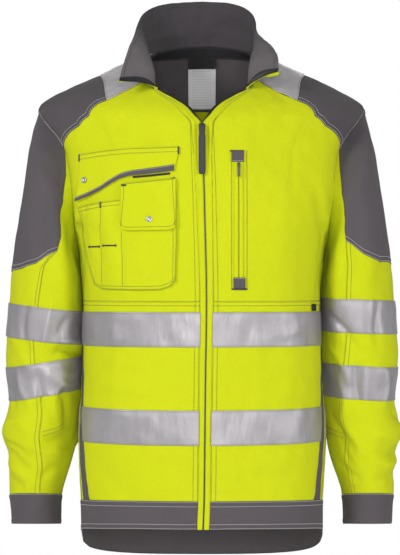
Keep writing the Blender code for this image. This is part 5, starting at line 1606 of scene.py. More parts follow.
def level(form: Form, left: Array, right: Array, count: int = 14) -> Paths:
    """The surface and the four paths round what lies between two that run down the cloth."""
    ends = (pairs(np.linspace(left[k, 0], right[k, 0], count), left[k, 1]) for k in (0, -1))
    return form, *ends, left, right


@dataclass
class Trunk:
    """The body: fronts, welts, side inserts, back, hem bands and the tapes round them."""

    room: Workroom

    def build(self) -> None:
        """Builds both fronts, then the back."""
        for half in self.room.halves:
            self.front(half)
            self.welt(half)
            self.hem(half)
            self.side(half)
        self.back()

    def front(self, half: Half) -> None:
        """The upper and lower front panels."""
        name, body = half.side.name, half.body
        left = half.welt_edge(np.linspace(NECK, LEVEL_SEAM, 28))
        right = np.concatenate([pairs(1, ARM_SIDE), half.insert_edge(1, INSERT_ROWS[:5])])
        neck = pairs(np.linspace(left[0, 0], half.strip_seam[0, 0], 4), NECK)
        top = np.concatenate([neck[:-1], half.strip_seam[:-1], half.yoke_seam])
        bottom = pairs(np.linspace(left[-1, 0], right[-1, 0], 12), LEVEL_SEAM)
        edges = Edges(Edge.UNDER, Edge.CLEAN, Edge.SEWN, Edge.UNDER)
        grid = fill(body, top, bottom, left, right, edges, PITCH)
        face = self.room.make(f"front_upper_{name}", grid, LIME, edges)
        self.room.rows("lime_front", face, "left")
        self.room.rows("lime_front", face, "bottom", away=ROWS[:1])
        rows = np.linspace(LEVEL_SEAM, HEM_TOP, 13)
        edges = Edges(Edge.CLEAN, Edge.UNDER, Edge.SEWN, Edge.UNDER)
        paths = level(body, half.welt_edge(rows), half.insert_edge(1, rows), 12)
        face = self.room.make(f"front_lower_{name}", fill(*paths, edges, PITCH), LIME, edges)
        self.room.rows("lime_front", face, "left")
        self.room.rows("lime_front", face, "top", away=(0.0050,))

    def welt(self, half: Half) -> None:
        """The folded strip along the front edge, and the zip's tape behind it."""
        rows = np.linspace(NECK, HEM, 40)
        edges = Edges(Edge.UNDER, Edge.FREE, Edge.CLEAN, Edge.UNDER)
        grid = strip(half.body, half.beside(EDGE_GAP, rows), half.welt_edge(rows), edges)
        bulge = 0.0007 * np.sin(grid.share(0) * math.pi)
        self.room.make(f"front_welt_{half.side.name}", grid, LIME, edges, extra=bulge)
        rows = np.linspace(ZIP_START, HEM, 60)
        shown = half.beside(np.interp(rows, *ZIP_SHOWN), rows)
        grid = strip(half.body, shown, half.beside(ZIP_TAPE_WIDTH, rows), FREE)
        self.room.make(f"zip_tape_{half.side.name}", grid, BLACK, FREE, -WALL - LAYER + TRIM - 0.0002, 0.0007)

    def hem(self, half: Half) -> None:
        """The front's hem band and its tapes."""
        name, body = half.side.name, half.body
        edges = Edges(Edge.SEWN, Edge.SEWN, Edge.UNDER, Edge.CLEAN)
        ends = (edge[0, 0] for edge in (half.welt_edge([HEM_TOP]), half.insert_edge(1, [HEM_TOP])))
        paths = level(body, *(pairs(a, HEM_ROWS) for a in ends), 12)
        face = self.room.make(f"hem_front_{name}", fill(*paths, edges, PITCH), GREY, edges)
        self.room.rows("grey_hem", face, "top", "bottom")
        for tape in BODY_TAPES:
            rows = half.tape_rows(tape)
            paths = level(body, half.welt_edge(rows), half.insert_edge(1, rows))
            self.room.tape(f"body_tape_{tape}_{name}", fill(*paths, FREE, FINE_PITCH))

    def side(self, half: Half) -> None:
        """The narrow grey insert from the armhole's foot down to the hem band."""
        left, right = half.insert_edge(1, INSERT_ROWS), half.insert_edge(2, INSERT_ROWS)
        top = np.array([left[0], (1, ARMPIT), (REAR, ARMPIT), right[0]])
        bottom = pairs(np.linspace(left[-1, 0], right[-1, 0], 3), HEM_TOP)
        grid = fill(half.body, top, bottom, left, right, Edges(), PITCH)
        self.room.make(f"side_insert_{half.side.name}", grid, GREY)

    def back(self) -> None:
        """The back panel, its yoke, its hem band and its tapes, each across both halves."""
        for name, finish, paths, (top, bottom, side), tall, thread, sewn in (
                ("back", LIME, self.panel, (Edge.UNDER, Edge.UNDER, Edge.SEWN), 0.60,
                 "lime_back", ("left", "right")),
                ("back_yoke", GREY, self.yoke, (Edge.UNDER, Edge.SEWN, Edge.UNDER), 0.12,
                 "grey_yoke", ("bottom",)),
                ("hem_back", GREY, self.band, (Edge.SEWN, Edge.SEWN, Edge.UNDER), 0.042,
                 "grey_hem", ("top", "bottom"))):
            grid = self.room.both(paths, Edges(top, bottom, side, Edge.RUN), PITCH, tall)
            face = self.room.make(name, grid, finish, Edges(top, bottom, side, side))
            self.room.rows(thread, face, *sewn)
        for tape in BODY_TAPES:
            grid = self.room.both(lambda half: half.back_tape(tape), FREE_HALF, FINE_PITCH, TAPE)
            self.room.tape(f"body_tape_{tape}_back", grid)

    def panel(self, half: Half) -> Paths:
        """The paths of half the back panel."""
        seam = half.back_seam()
        side = np.concatenate([pairs(REAR, ARM_SIDE), half.insert_edge(2, INSERT_ROWS)])
        return (half.body, seam, pairs(np.linspace(side[-1, 0], 2, 12), HEM_TOP), side,
                pairs(2, np.linspace(seam[-1, 1], HEM_TOP, 19)))

    def yoke(self, half: Half) -> Paths:
        """The paths of half the back yoke."""
        return (half.body, pairs(np.linspace(half.strip_back[0, 0], 2, 10), NECK), half.back_seam(),
                np.concatenate([half.strip_back[:-1], half.yoke_back]), pairs(2, np.linspace(NECK, 3, 9)))

    def band(self, half: Half) -> Paths:
        """The paths of half the back hem band, which starts at the side insert's front edge."""
        front, rear = (half.insert_edge(column, [HEM_TOP])[0, 0] for column in (1, 2))
        across = np.concatenate([[front, (front + rear) / 2], np.linspace(rear, 2, 14)])
        return (half.body, pairs(across, HEM_TOP), pairs(across, HEM),
                pairs(front, HEM_ROWS), pairs(2, HEM_ROWS))


@dataclass
class Shoulders:
    """The reflective strips beside the collar and the grey yokes over the shoulders."""

    room: Workroom

    def build(self) -> None:
        """Builds the strip and the yoke of each half."""
        for half in self.room.halves:
            name = half.side.name
            top = pairs(np.linspace(half.strip_seam[0, 0], half.strip_back[0, 0], 11), NECK)
            edges = Edges(Edge.UNDER, Edge.CLEAN, Edge.CLEAN, Edge.CLEAN)
            grid = fill(half.body, top, half.strip_end, half.strip_seam, half.strip_back, edges, FINE_PITCH)
            crinkle = 0.0006 * np.abs(waves(grid.points, 0.040, 35)) + 0.0003 * waves(grid.points, 0.014, 36)
            # The shoulder strips take the lighter copy of the tape: painted light.
            face = self.room.make(f"shoulder_strip_{name}", grid, "bright reflective tape", edges, 0.0004,
                                  extra=crinkle)
            self.room.rows("tape", face, "bottom", "left", "right", away=(0.0022,))
            around = ARM_TOP[-2::-1]
            bottom = np.concatenate([pairs(1, ARM_TOP), [(REAR, SHOULDER)], pairs(REAR, around)])
            right = half.yoke_back.copy()
            right[-1] = (REAR, YOKE_END)
            edges = Edges(Edge.UNDER, Edge.SEWN, Edge.SEWN, Edge.SEWN)
            grid = fill(half.body, half.strip_end, bottom, half.yoke_seam, right, edges, PITCH)
            # The yokes take the darker copy of the grey cloth: painted shade.
            face = self.room.make(f"shoulder_yoke_{name}", grid, "grey shoulder cloth", edges)
            self.room.rows("grey_yoke", face, "bottom", "left", "right")


@dataclass
class Sleeves:
    """The sleeves: a grey cap over two lime panels, two tapes all round, and a grey cuff."""

    room: Workroom

    def build(self) -> None:
        """Builds both sleeves."""
        for half in self.room.halves:
            self.panels(half)
            self.tapes(half)
            self.cuff(half)

    def panels(self, half: Half) -> None:
        """The cap, and the outer and inner panels, which meet on the front and the back seam."""
        name, sleeve = half.side.name, half.sleeve
        rows = np.concatenate([ARM_TOP, ARM_TOP[-2::-1]])
        angle = arm_angle(rows) * np.where(np.arange(len(rows)) < len(ARM_TOP), 1, -1)
        hem = np.concatenate([half.cap_hem, half.cap_hem[-2::-1] * [-1, 1]])
        edges = Edges(Edge.UNDER, Edge.SEWN, Edge.SEWN, Edge.SEWN)
        grid = fill(sleeve, pairs(angle, 0), hem, half.cap_edge, half.cap_edge * [-1, 1], edges, PITCH)
        face = self.room.make(f"sleeve_cap_{name}", grid, GREY, edges)
        self.room.rows("grey_sleeves", face, "bottom")
        seam = half.sleeve_seam
        edges = Edges(Edge.UNDER, Edge.UNDER, Edge.SEWN, Edge.SEWN)
        end = pairs(np.linspace(seam[-1, 0], -seam[-1, 0], 11), CUFF_TOP)
        grid = fill(sleeve, hem, end, seam, seam * [-1, 1], edges, PITCH)
        face = self.room.make(f"sleeve_outer_{name}", grid, LIME, edges)
        self.room.rows("lime_sleeves", face, "left", "right")
        rows = np.concatenate([ARM_FRONT, [ARMPIT], ARM_FRONT[::-1]])
        size = arm_angle(rows)
        angle = np.where(np.arange(len(rows)) <= len(ARM_FRONT), size, 2 * math.pi - size)
        left = np.concatenate([half.cap_edge, seam[1:]])
        end = pairs(np.linspace(seam[-1, 0], 2 * math.pi - seam[-1, 0], 11), CUFF_TOP)
        grid = fill(sleeve, pairs(angle, 0), end, left, left * [-1, 1] + [2 * math.pi, 0], Edges(), PITCH)
        self.room.make(f"sleeve_inner_{name}", grid, LIME)
        for drop in (0, 0.0062):
            dart = half.on_sleeve([(x, z - drop) for x, z in ELBOW_DARTS[name]], (110, 6))
            self.room.run("lime_sleeves", sleeve, dart, 0.0002)

    def tapes(self, half: Half) -> None:
        """Two tapes round each sleeve: their top edges have the height middle + tilt x cos(angle)."""
        angle = np.linspace(math.pi, 3 * math.pi, 112)[:, None]
        for tape, (outer, inner) in SLEEVE_TAPES[half.side.name].items():
            shares = stations(TAPE, True, True, FINE_PITCH)
            height = (outer + inner) / 2 + (outer - inner) / 2 * np.cos(angle) - TAPE * shares[None]
            places = pairs(angle, half.sleeve.at_height(angle + 0 * height, height))
            self.room.tape(f"sleeve_tape_{tape}_{half.side.name}", lay(half.sleeve, places), FREE_ROUND)

    def cuff(self, half: Half) -> None:
        """The band round the wrist."""
        angle = np.linspace(math.pi, 3 * math.pi, 25)
        ends = (pairs(angle, b) for b in (CUFF_TOP, CUFF_END))
        sides = (pairs(a, [CUFF_TOP, 10.5, CUFF_END]) for a in (angle[0], angle[-1]))
        edges = Edges(Edge.SEWN, Edge.SEWN, Edge.RUN, Edge.RUN)
        grid = fill(half.sleeve, *ends, *sides, edges, FINE_PITCH)
        face = self.room.make(f"cuff_{half.side.name}", grid, GREY, edges)
        self.room.rows("grey_sleeves", face, "top", away=(0.0016,))


@dataclass
class Collar:
    """The standing collar, open and flared: outer and inner cloth, bound front edges with the ends
    of the zip, and the tape and labels inside the neck."""

    room: Workroom
    seat: float = -0.0020        # outer face of what is sewn inside the neck

    def build(self) -> None:
        """Builds the collar, its edges and what is sewn inside the neck."""
        edges = Edges(Edge.CLEAN, Edge.UNDER, Edge.UNDER, Edge.RUN)
        whole = self.room.both(self.paths, edges, FINE_PITCH, 0.11)
        edges = Edges(Edge.CLEAN, Edge.UNDER, Edge.UNDER, Edge.UNDER)
        crumple = (0.0009 * waves(whole.points * [1, 1, 0.5], 0.036, 51)
                   + 0.0004 * waves(whole.points, 0.015, 52))
        outer = self.room.make("collar_outer", whole, "grey collar cloth", edges, 0, TRIM)
        across, down = whole.travel(0), whole.travel(1)
        rise = (np.clip(down[:, -1:] - down, 0, 0.02) / 0.02
                * np.clip(np.minimum(across, across[-1:] - across) / 0.02 - 0.4, 0, 1))
        inner = self.room.make("collar_inner", whole, "collar lining", edges, -LAYER, TRIM,
                               extra=-np.abs(crumple) * rise)
        for face in (outer, inner.inside(TRIM)):
            self.room.rows("grey_collar", face, "top", away=(0.0065,))
        for half in self.room.halves:
            self.edge(half)
        self.neck()

    def paths(self, half: Half) -> Paths:
        """The paths of half the collar."""
        start = float(half.body.from_edge(0.0016, NECK))
        a = np.concatenate([np.linspace(start, 0.4, 6), np.linspace(0.4, 1.6, 12)[1:],
                            np.linspace(1.6, 2, 8)[1:]])
        down = np.linspace(1, 0, 9)
        return half.collar, pairs(a, 1), pairs(a, 0), pairs(start, down), pairs(2, down)

    def edge(self, half: Half) -> None:
        """The lime binding of a front edge, with the black tape of the zip along its inner side."""
        for piece, finish, span, lift, thick, bulge in (
                ("collar_binding", LIME, (-0.0012, 0.0013), 0.0009, 0.0030, 0.0006),
                ("collar_zip", BLACK, (0.0001, 0.0019), -0.0029, 0.0006, 0.0)):
            sides = (pairs(float(half.body.from_edge(distance, NECK)), np.linspace(1, 0, 30))
                     for distance in span)
            grid = strip(half.collar, *sides, FREE)
            self.room.make(f"{piece}_{half.side.name}", grid, finish, FREE, lift, thick,
                           bulge * np.sin(grid.share(0) * math.pi))

    def neck(self) -> None:
        """The black tape over the neck seam, the bare woven label and the white care label."""
        rows = [0.02, 0.3, 0.56]
        tape = self.room.both(lambda half: level(half.body, pairs(1.42, rows), pairs(2, rows), 9),
                              FREE_HALF, FINE_PITCH, 0.02)
        face = self.room.make("neck_tape", tape, BLACK, FREE, self.seat, TRIM)
        self.room.rows("bars", face.inside(TRIM), "top", "bottom", away=(0.0016,))
        care = self.label(np.linspace(0.98, 2.86, 7), 0.11)
        loose = np.clip(care.travel(1) - 0.02, 0, 1)
        sway = -0.06 * loose - 0.0010 * (loose > 0) * np.abs(waves(care.points, 0.05, 61))
        self.room.make("care_label", care, "white label", FREE, self.seat, 0.0006, sway)
        label = self.label(np.linspace(0.45, 1.06, 7), 0.03)
        face = self.room.make("neck_label", label, BLACK, FREE, self.seat - LAYER, 0.0006)
        self.room.rows("bars", face.inside(0.0006), "left", "right", away=(0.0014,))

    def label(self, rows: Array, tall: float) -> Grid:
        """A label 44 mm wide on the middle of the back, at these sections."""
        return self.room.both(lambda half: level(half.body, pairs(half.body.from_back(0.022, rows), rows),
                                                 pairs(2, rows), 5), FREE_HALF, FINE_PITCH, tall)


@dataclass
class Pockets:
    """The chest pocket under its flap, with the phone flap; the zip pocket; and the side tab."""

    room: Workroom

    # Where the filled pocket stands out: points from the front, height and width, all in mm.
    PUFFS = (
        (((162, -262), (156, -305), (150, -340)), 2.4, 12),
        (((130, -262), (129, -305), (130, -342)), 3.0, 13),
        (((86, -250), (84, -295), (88, -338)), 4.0, 22),
        (((52, -245), (52, -290), (56, -335)), 2.6, 13),
        (((144.8, -240), (144.8, -300), (144.8, -358.7)), -1.3, 3.5),
        (((114.8, -272), (114.8, -315), (114.8, -361.6)), -1.5, 3.5),
        (((70, -345), (92, -338), (112, -346)), -1.4, 6),
    )
    # The pieces on straight lines, left, right, top and bottom; their lift, thickness and bulge.
    STRAIGHT = (
        ("pocket_zip", BLACK, (0.0505, 0.0555, -0.166, -0.346), 0.0006, 0.0006, True, 0),
        ("pocket_lip_inner", LIME, (0.0462, 0.0526, -0.160, -0.352), 0.0012, 0.0010, False, 0.0009),
        ("pocket_lip_outer", LIME, (0.0534, 0.0596, -0.160, -0.352), 0.0012, 0.0010, False, 0.0009),
        ("pocket_tab_upper", GREY, (0.0428, 0.0600, -0.1580, -0.1735), 0.0032, TRIM, True, 0),
        ("pocket_tab_lower", GREY, (0.0450, 0.0622, -0.3400, -0.3555), 0.0032, TRIM, True, 0),
        ("side_tab", BLACK, (0.1600, 0.1670, -0.3790, -0.3893), 0.0026, TRIM, True, 0),
    )

    def build(self) -> None:
        """Builds the chest pocket on the right half, the zip pocket and the tab on the left."""
        base = self.room
        right = base.halves.right
        puffs = [Fold(right.body_line(sampled(right.front(np.array(spots) / 1000), 9)),
                      height / 1000, width / 1000, 0.25, 0.25) for spots, height, width in self.PUFFS]
        self.room = base._replace(drape=Drape(base.drape.folds + puffs))
        self.chest_pocket(right)
        self.chest_flap(right)
        self.phone_flap(right)
        self.room = base
        self.zip_pocket(base.halves.left)

    def chest_pocket(self, half: Half) -> None:
        """The bag of the pocket with its dividers and two pen slots."""
        edges = Edges(Edge.SEWN, Edge.SEWN, Edge.SEWN, Edge.SEWN)
        paths = (half.front(spots) for spots in (POCKET_TOP, POCKET_FOOT, POCKET_LEFT, POCKET_RIGHT))
        grid = fill(half.body, *paths, edges, FINE_PITCH)
        face = self.room.make("chest_pocket", grid, LIME, edges, 0.0024, TRIM)
        self.room.rows("lime_pocket", face, "top", away=(0.0016, 0.0072))
        self.room.rows("lime_pocket", face, "bottom", "left", "right", away=(0.0016, 0.0062))
        for x, top, bottom in ((0.1448, -0.2406, -0.3570), (0.1148, -0.2723, -0.3570)):
            line = half.front(((x, top), (x, (top + bottom) / 2), (x, bottom)))
            self.room.run("lime_pocket", half.body, line, 0.0026)
        self.bar(half, (0.1455, -0.2290), (0.1455, -0.2400), 0.0028)
        for name, left, right, z in (("outer", 0.1614, 0.1477, -0.2946), ("inner", 0.1412, 0.1229, -0.2933)):
            middle = (left + right) / 2
            top, bottom = (half.front(((left, z + tall / 2), (middle, z + tall * 0.7), (right, z + tall / 2)))
                           for tall in (0.0017, -0.0017))
            # Each pen slot's opening is a black strip: painted shadow.
            self.dark(half, f"pen_slot_{name}", top, bottom, FREE, 0.0029)
            for x in (left, right):
                self.bar(half, (x, z + 0.0022), (x, z - 0.0022), 0.0031)

    def dark(self, half: Half, name: str, top: Array, bottom: Array, edges: Edges, lift: float) -> None:
        """A narrow strip of black ribbon in the cloth: painted shadow, standing for the shade inside an
        opening.
        """
        self.room.make(name, band(half.body, top, bottom, edges), BLACK, edges, lift, 0.0006, solid=False)

    def bar(self, half: Half, start: Sequence[float], end: Sequence[float], lift: float) -> None:
        """A bartack: five stitches side by side, each right across its length."""
        start, end = np.array(start), np.array(end)
        x, z = end - start
        length = float(math.hypot(x, z))
        side = np.array([-z, x]) / length * 0.00045
        for step in range(-2, 3):
            line = half.front((start + side * step, end + side * step))
            self.room.run("bars", half.body, line, lift, length)

    def chest_flap(self, half: Half) -> None:
        """The flap across the chest, its grey trim, a black strip below it painted as the shadow in the
        pocket's mouth, and its press stud.
        """
        top, bottom = (sampled(half.front(spots), 12) for spots in (FLAP_TOP, FLAP_EDGE))
        edges = Edges(Edge.SEWN, Edge.FREE, Edge.CLEAN, Edge.CLEAN)
        grid = band(half.body, top, bottom, edges)
        flare = 0.0012 * grid.share(1) ** 2 * (1 + 0.5 * waves(grid.points, 0.05, 71))
        face = self.room.make("chest_flap", grid, LIME, edges, 0.0020, TRIM, flare)
        self.room.rows("lime_pocket", face, "top", away=(0.0016, 0.0080))
        edge = sampled(np.array(FLAP_EDGE), 16)
        outer = half.front(edge + [0, 1] * np.linspace(*FLAP_TRIM, 16)[:, None])
        edges = Edges(Edge.CLEAN, Edge.CLEAN, Edge.CLEAN, Edge.CLEAN)
        grid = band(half.body, outer, half.front(edge - [0, 0.0006]), edges)
        face = self.room.make("chest_flap_trim", grid, GREY, edges, 0.0044, 0.0018,
                              0.0006 * waves(grid.points, 0.05, 71))
        self.room.rows("grey_yoke", face, "top", away=(0.0016,))
        # Painted shadow: a black strip where the pocket's mouth lies in shade under the flap.
        mouth = sampled(np.array(((0.100, -0.1935), (0.075, -0.1915), (0.046, -0.1885))), 9)
        self.dark(half, "flap_mouth", half.front(mouth), half.front(mouth - [0, 0.0030]), edges, 0.0010)
        for x, z in ((0.179, -0.163), (0.034, -0.155)):
            self.bar(half, (x, z + 0.005), (x, z - 0.008), 0.0024)
        self.stud(half, "snap_flap", (0.1705, -0.1980), 0.0036)

    def phone_flap(self, half: Half) -> None:
        """The small rounded flap that closes the wide compartment."""
        left, right, top, bottom = 0.1165, 0.0375, -0.2010, -0.2715
        corner, slant = 0.010, 0.004
        turn = np.linspace(0, math.pi / 2, 5)
        foot = np.concatenate([
            pairs(left - corner + corner * np.cos(turn), bottom + corner - corner * np.sin(turn)),
            pairs(right + corner - corner * np.sin(turn), bottom + corner - corner * np.cos(turn))])
        across = np.linspace(left, right, 9)
        head = pairs(across, top - slant + 2 * slant * (left - across) / (left - right))
        sides = [pairs(x, np.linspace(z, bottom + corner, 5))
                 for x, z in ((left, top - slant), (right, top + slant))]
        edges = Edges(Edge.SEWN, Edge.CLEAN, Edge.CLEAN, Edge.CLEAN)
        grid = fill(half.body, *(half.front(line) for line in (head, foot, *sides)), edges, FINE_PITCH)
        face = self.room.make("phone_flap", grid, LIME, edges, 0.0044, TRIM, 0.0018 * grid.share(1) ** 2)
        self.room.rows("lime_pocket", face, "top", away=(0.0016,))
        self.room.rows("lime_pocket", face, "bottom", "left", "right", away=(0.0050,))
        self.stud(half, "snap_phone", (0.0750, -0.2560), 0.0058)
        self.bar(half, (0.1160, -0.2075), (0.1075, -0.2070), 0.0056)
        self.bar(half, (0.0460, -0.1985), (0.0375, -0.1965), 0.0030)

    def stud(self, half: Half, name: str, spot: Sequence[float], lift: float) -> None:
        """A ring press stud, turned about the cloth's normal from a profile of radii and heights."""
        place = half.front([spot])
        out = half.body.normal(place[:, 0], place[:, 1])[0]
        middle = half.body_line(place)[0]
        middle = middle + out * (lift + self.room.drape.lift(middle[None])[0])
        side = unit(np.cross(out, [0, 0, 1.0]))
        up = np.cross(side, out)
        turn = np.linspace(0, 2 * math.pi, 32, endpoint=False)
        circle = np.cos(turn)[:, None] * side - np.sin(turn)[:, None] * up
        rings = [middle + circle * radius / 1000 + out * height / 1000 for radius, height in (
            (4.4, -0.4), (4.5, 0.4), (4.3, 0.9), (3.8, 1.25), (3.2, 1.3), (2.7, 1.1), (2.4, 0.5), (2.2, 0.3))]
        self.room.wardrobe.dress(add_piece(f"{name}_stud", *loft(rings), (name,)), "brushed steel")

    def zip_pocket(self, half: Half) -> None:
        """The chest zip between two lips, its grey end tabs, the bag's stitch lines, and the side tab."""
        for name, finish, (left, right, top, bottom), lift, thick, solid, bulge in self.STRAIGHT:
            sides = (half.front(pairs(x, np.linspace(top, bottom, 9))) for x in (left, right))
            ends = (half.front(((left, z), (right, z))) for z in (top, bottom))
            grid = fill(half.body, *ends, *sides, FREE, FINE_PITCH)
            face = self.room.make(name, grid, finish, FREE, lift, thick,
                                  bulge * np.sin(grid.share(0) * math.pi), solid)
            if name.startswith("pocket_tab"):
                self.room.rows("grey_yoke", face, "bottom" if "upper" in name else "top", away=(0.0016,))
        for x in (0.0425, 0.0648):
            line = half.front(pairs(x, np.linspace(-0.1556, -0.3579, 9)))
            self.room.run("lime_pocket", half.body, line, 0.0002)
        self.bar(half, (0.0389, -0.1575), (0.0620, -0.1575), 0.0012)
        self.bar(half, (0.0418, -0.3568), (0.0663, -0.3568), 0.0012)


@dataclass
class Fasteners:
    """The main zip's teeth, the two sliders and the pulls that swing on them."""

    room: Workroom
    pitch: float = 0.0027

    def build(self) -> None:
        """Builds the teeth, then each slider with its pull."""
        self.teeth()
        self.slider("zip_slider", "zip_pull", Body.ZIP_PULL, (0.0, -0.142929, -0.1235), "black zip metal")
        self.slider("pocket_slider", "pocket_pull", Body.POCKET_PULL, (0.053, -0.142127, -0.1775),
                    "dark zip metal")

    def teeth(self) -> None:
        """Small blocks along both edges: meshed below the slider, and apart above it."""
        parts: list[Array] = []
        for half, odd in zip(self.room.halves, (0, 1)):
            rows = np.linspace(3.9, HEM - 0.03, 400)
            a = half.body.from_edge(0.0003, rows)
            lift = -0.0010
            self.blocks(parts, half.body, pairs(a, rows), lift, odd, 0.0016)
            rows = np.linspace(0.05, 3.75, 140)
            shown = np.interp(rows, *ZIP_SHOWN) + 0.0008
            self.blocks(parts, half.body, pairs(half.body.from_edge(shown, rows), rows), lift, odd, 0.0020)
            rows = np.linspace(0.98, 0.03, 80)
            a = float(half.body.from_edge(0.0008, NECK))
            self.blocks(parts, half.collar, pairs(a, rows), -0.0038, odd, 0.0018)
        points = np.concatenate(parts)
        wall = [[0, 1, 2, 3], [7, 6, 5, 4], [0, 4, 5, 1], [1, 5, 6, 2], [2, 6, 7, 3], [3, 7, 4, 0]]
        faces = (np.array(wall)[None] + 8 * np.arange(len(points) // 8)[:, None, None]).reshape(-1, 4)
        self.room.wardrobe.dress(add_piece("zip_teeth", points, faces, smooth=False), "black zip plastic")

    def blocks(self, parts: list[Array], form: Form, places: Array, lift: float, odd: int,
               width: float) -> None:
        """Blocks evenly spaced along a path; those of the two halves stand in each other's gaps."""
        line = form.point(places[:, 0], places[:, 1])
        out = form.normal(places[:, 0], places[:, 1])
        line = line + out * (lift + self.room.drape.lift(line))[:, None]
        far = gone(line)
        at = np.arange(odd * self.pitch / 2 + 0.001, far[-1] - 0.001, self.pitch)
        index = np.interp(at, far, np.arange(len(line)))
        middle, up = read_rows(line, index), unit(read_rows(out, index))
        ahead = unit(read_rows(line, index + 0.5) - read_rows(line, index - 0.5))
        side = unit(np.cross(ahead, up))
        ahead, side, up = ahead * self.pitch * 0.30, side * width / 2, up * 0.0005
        corners = [middle + i * ahead + j * side + k * up
                   for k in (1, -1) for i, j in ((1, 1), (1, -1), (-1, -1), (-1, 1))]
        parts.append(np.stack(corners, axis=1).reshape(-1, 3))

    def slider(self, slider: str, pull: str, body: Body, hinge: Sequence[float], finish: str) -> None:
        """A slider with shoulders, side flanges and a bridge, and a pull with a hollow on its face.

        Both are sized from their solids' boxes, and the pull hangs from the bridge's front."""
        low, high = (np.array(corner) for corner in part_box(slider))
        width, height = high[0] - low[0], high[2] - low[2]
        middle = (low + high) / 2
        deep = 0.55 * (high[1] - low[1])
        rings = []
        for depth, share in ((0, 0.90), (0.12, 1.0), (0.40, 1.0), (0.46, 0.86), (0.60, 0.86), (0.66, 1.0),
                             (0.92, 0.97), (1, 0.84)):
            outline = rounded_box(width * share, height * (0.96 if share < 0.9 else 1) * min(1, share + 0.03),
                                  width * 0.22)
            taper = 1 - 0.22 * np.clip(-outline[:, 1] / height * 2, 0, 1)
            rings.append(np.stack([middle[0] + outline[:, 0] * taper,
                                   np.full(len(outline), high[1] - depth * deep),
                                   middle[2] + outline[:, 1]], axis=-1))
        points, faces = loft(rings)
        base = len(points)
        turn = np.linspace(0, math.pi, 9)
        bridge_low, bridge_high = hinge[2] - height * 0.28, hinge[2] + height * 0.28
        start = high[1] - deep
        arc = []
        for angle in turn:
            z = (bridge_low + bridge_high) / 2 + (bridge_high - bridge_low) / 2 * np.cos(angle)
            y = start + 0.0002 - (start - low[1] - 0.0003) * np.sin(angle) ** 0.6
            bar = rounded_box(width * 0.34, width * 0.16, width * 0.05, 2)
            radial = np.array([0, -np.sin(angle), np.cos(angle)])
            arc.append(np.array([middle[0], y, z]) + bar[:, :1] * [1, 0, 0] + bar[:, 1:] * radial)
        more, others = loft(arc)
        faces = faces + [[index + base for index in face] for face in others]
        piece = add_piece(f"{slider}_metal", np.concatenate([points, more]), faces, (slider,), smooth=False)
        self.room.wardrobe.dress(piece, finish)
        self.pull(pull, body, finish)

    def pull(self, name: str, body: Body, finish: str) -> None:
        """A pull: a narrow neck that widens to a long tag with a raised rim."""
        low, high = (np.array(corner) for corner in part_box(name))
        width, length, thick = high[0] - low[0], high[2] - low[2], high[1] - low[1]
        x, y = (low[0] + high[0]) / 2, (low[1] + high[1]) / 2
        places = ((0, 0.50), (0.02, 0.60), (0.10, 0.60), (0.15, 0.84), (0.19, 1.0), (0.90, 1.0), (0.97, 0.92),
                  (1, 0.70))
        half = np.array([(width / 2 * share, high[2] - at * length) for at, share in places])
        outline = np.concatenate([half, half[::-1] * [-1, 1]])
        centre = np.array([0, (high[2] + low[2]) / 2 - length * 0.06])

        def ring(depth: float, grow: float) -> Array:
            """The outline at a depth, drawn in by this much on every side."""
            inwards = outline - centre
            shape = outline - np.sign(inwards) * np.minimum(np.abs(inwards), grow)
            return np.stack([x + shape[:, 0], np.full(len(shape), y + depth), shape[:, 1]], axis=-1)

        edge = width * 0.06
        rings = [ring(thick / 2, edge), ring(thick * 0.3, 0), ring(-thick * 0.3, 0), ring(-thick / 2, edge),
                 ring(-thick / 2, width * 0.16), ring(-thick * 0.18, width * 0.22)]
        piece = add_piece(f"{name}_metal", *loft(rings), (name,), body, smooth=False)
        self.room.wardrobe.dress(piece, finish)


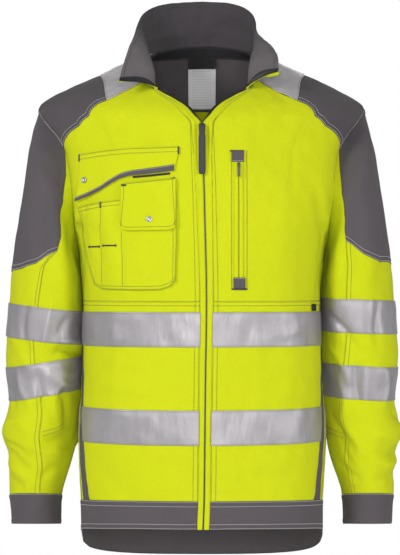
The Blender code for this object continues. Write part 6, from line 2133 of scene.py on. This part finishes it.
@dataclass
class Studio:
    """A plain pale floor under a soft white light, and the camera in front of the chest."""

    floor_height: float = -1.45
    floor_radius: float = 3.0

    def build(self) -> None:
        """Builds the floor, the world, the lamps and the camera."""
        scene = bpy.context.scene
        scene.view_settings.view_transform = "Standard"
        self.floor()
        self.world(scene)
        for name, place, size, energy in (
                ("key", (-2.1, -2.0, 0.9), 0.7, 43), ("fill", (2.5, -1.9, -0.2), 1.0, 25),
                ("front", (0.1, -3.3, -0.2), 0.9, 38), ("back", (0.3, 2.8, 0.6), 2.4, 26)):
            self.lamp(scene, name, place, size, energy)
        camera = bpy.data.cameras.new("camera")
        camera.sensor_fit, camera.sensor_width, camera.lens = "AUTO", 36.0, 116.6
        camera.clip_end = 50
        eye = bpy.data.objects.new("camera", camera)
        eye.location, eye.rotation_euler = (-0.003, -2.73, -0.340), (math.pi / 2, 0, 0)
        scene.collection.objects.link(eye)
        scene.camera = eye

    def floor(self) -> None:
        """A disc of 64 corners."""
        turn = np.linspace(0, 2 * math.pi, 64, endpoint=False)
        rim = np.stack([np.cos(turn) * self.floor_radius, np.sin(turn) * self.floor_radius,
                        np.full(64, self.floor_height)], axis=-1)
        mesh = bpy.data.meshes.new("floor")
        mesh.from_pydata(rim.tolist(), [], [list(range(64))])
        paint = Paint("pale floor")
        soft = paint.noise(6, 3)
        colour = paint.mix(soft, (0.78, 0.78, 0.78, 1), (0.84, 0.84, 0.84, 1))
        mesh.materials.append(paint.finish(colour, 0.8))
        piece = bpy.data.objects.new("floor", mesh)
        bpy.context.scene.collection.objects.link(piece)

    def world(self, scene: bpy.types.Scene) -> None:
        """White to the camera, and a softer grey as light."""
        world = bpy.data.worlds.new("studio")
        world.use_nodes = True
        tree = world.node_tree
        tree.nodes.clear()
        out = tree.nodes.new("ShaderNodeOutputWorld")
        mix, path = tree.nodes.new("ShaderNodeMixShader"), tree.nodes.new("ShaderNodeLightPath")
        tree.links.new(path.outputs["Is Camera Ray"], mix.inputs[0])
        for index, strength in ((1, 0.32), (2, 1.0)):
            light = tree.nodes.new("ShaderNodeBackground")
            light.inputs["Color"].default_value = (1, 1, 1, 1)
            light.inputs["Strength"].default_value = strength
            tree.links.new(light.outputs[0], mix.inputs[index])
        tree.links.new(mix.outputs[0], out.inputs[0])
        scene.world = world

    def lamp(self, scene: bpy.types.Scene, name: str, place: Sequence[float], size: float,
             energy: float) -> None:
        """A square area lamp aimed at the middle of the jacket."""
        light = bpy.data.lights.new(name, "AREA")
        light.shape, light.size, light.energy = "SQUARE", size, energy
        lamp = bpy.data.objects.new(name, light)
        ahead = np.array([0, 0, -0.34]) - place
        lamp.location = place
        lamp.rotation_euler = (math.atan2(math.hypot(ahead[0], ahead[1]), -ahead[2]), 0,
                               math.atan2(ahead[1], ahead[0]) - math.pi / 2)
        scene.collection.objects.link(lamp)


def main() -> None:
    """Builds the jacket on its frame, from the body outwards, and then its studio."""
    logging.basicConfig(level=logging.INFO, format="%(name)s: %(message)s")
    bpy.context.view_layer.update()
    halves = Halves(Half(Side.R), Half(Side.L))
    folds = Folds(halves)
    threads = {key: Seamstress(*facts) for key, facts in THREADS.items()}
    room = Workroom(halves, folds.body, Wardrobe(), threads)
    for part in (Trunk(room), Shoulders(room), Sleeves(room._replace(drape=folds.sleeves)),
                 Collar(room._replace(drape=folds.collar)), Pockets(room), Fasteners(room)):
        part.build()
        LOG.info("%s built", type(part).__name__)
    for seamstress in threads.values():
        seamstress.build(room.wardrobe)
    Studio().build()


if __name__ == "__main__":
    main()
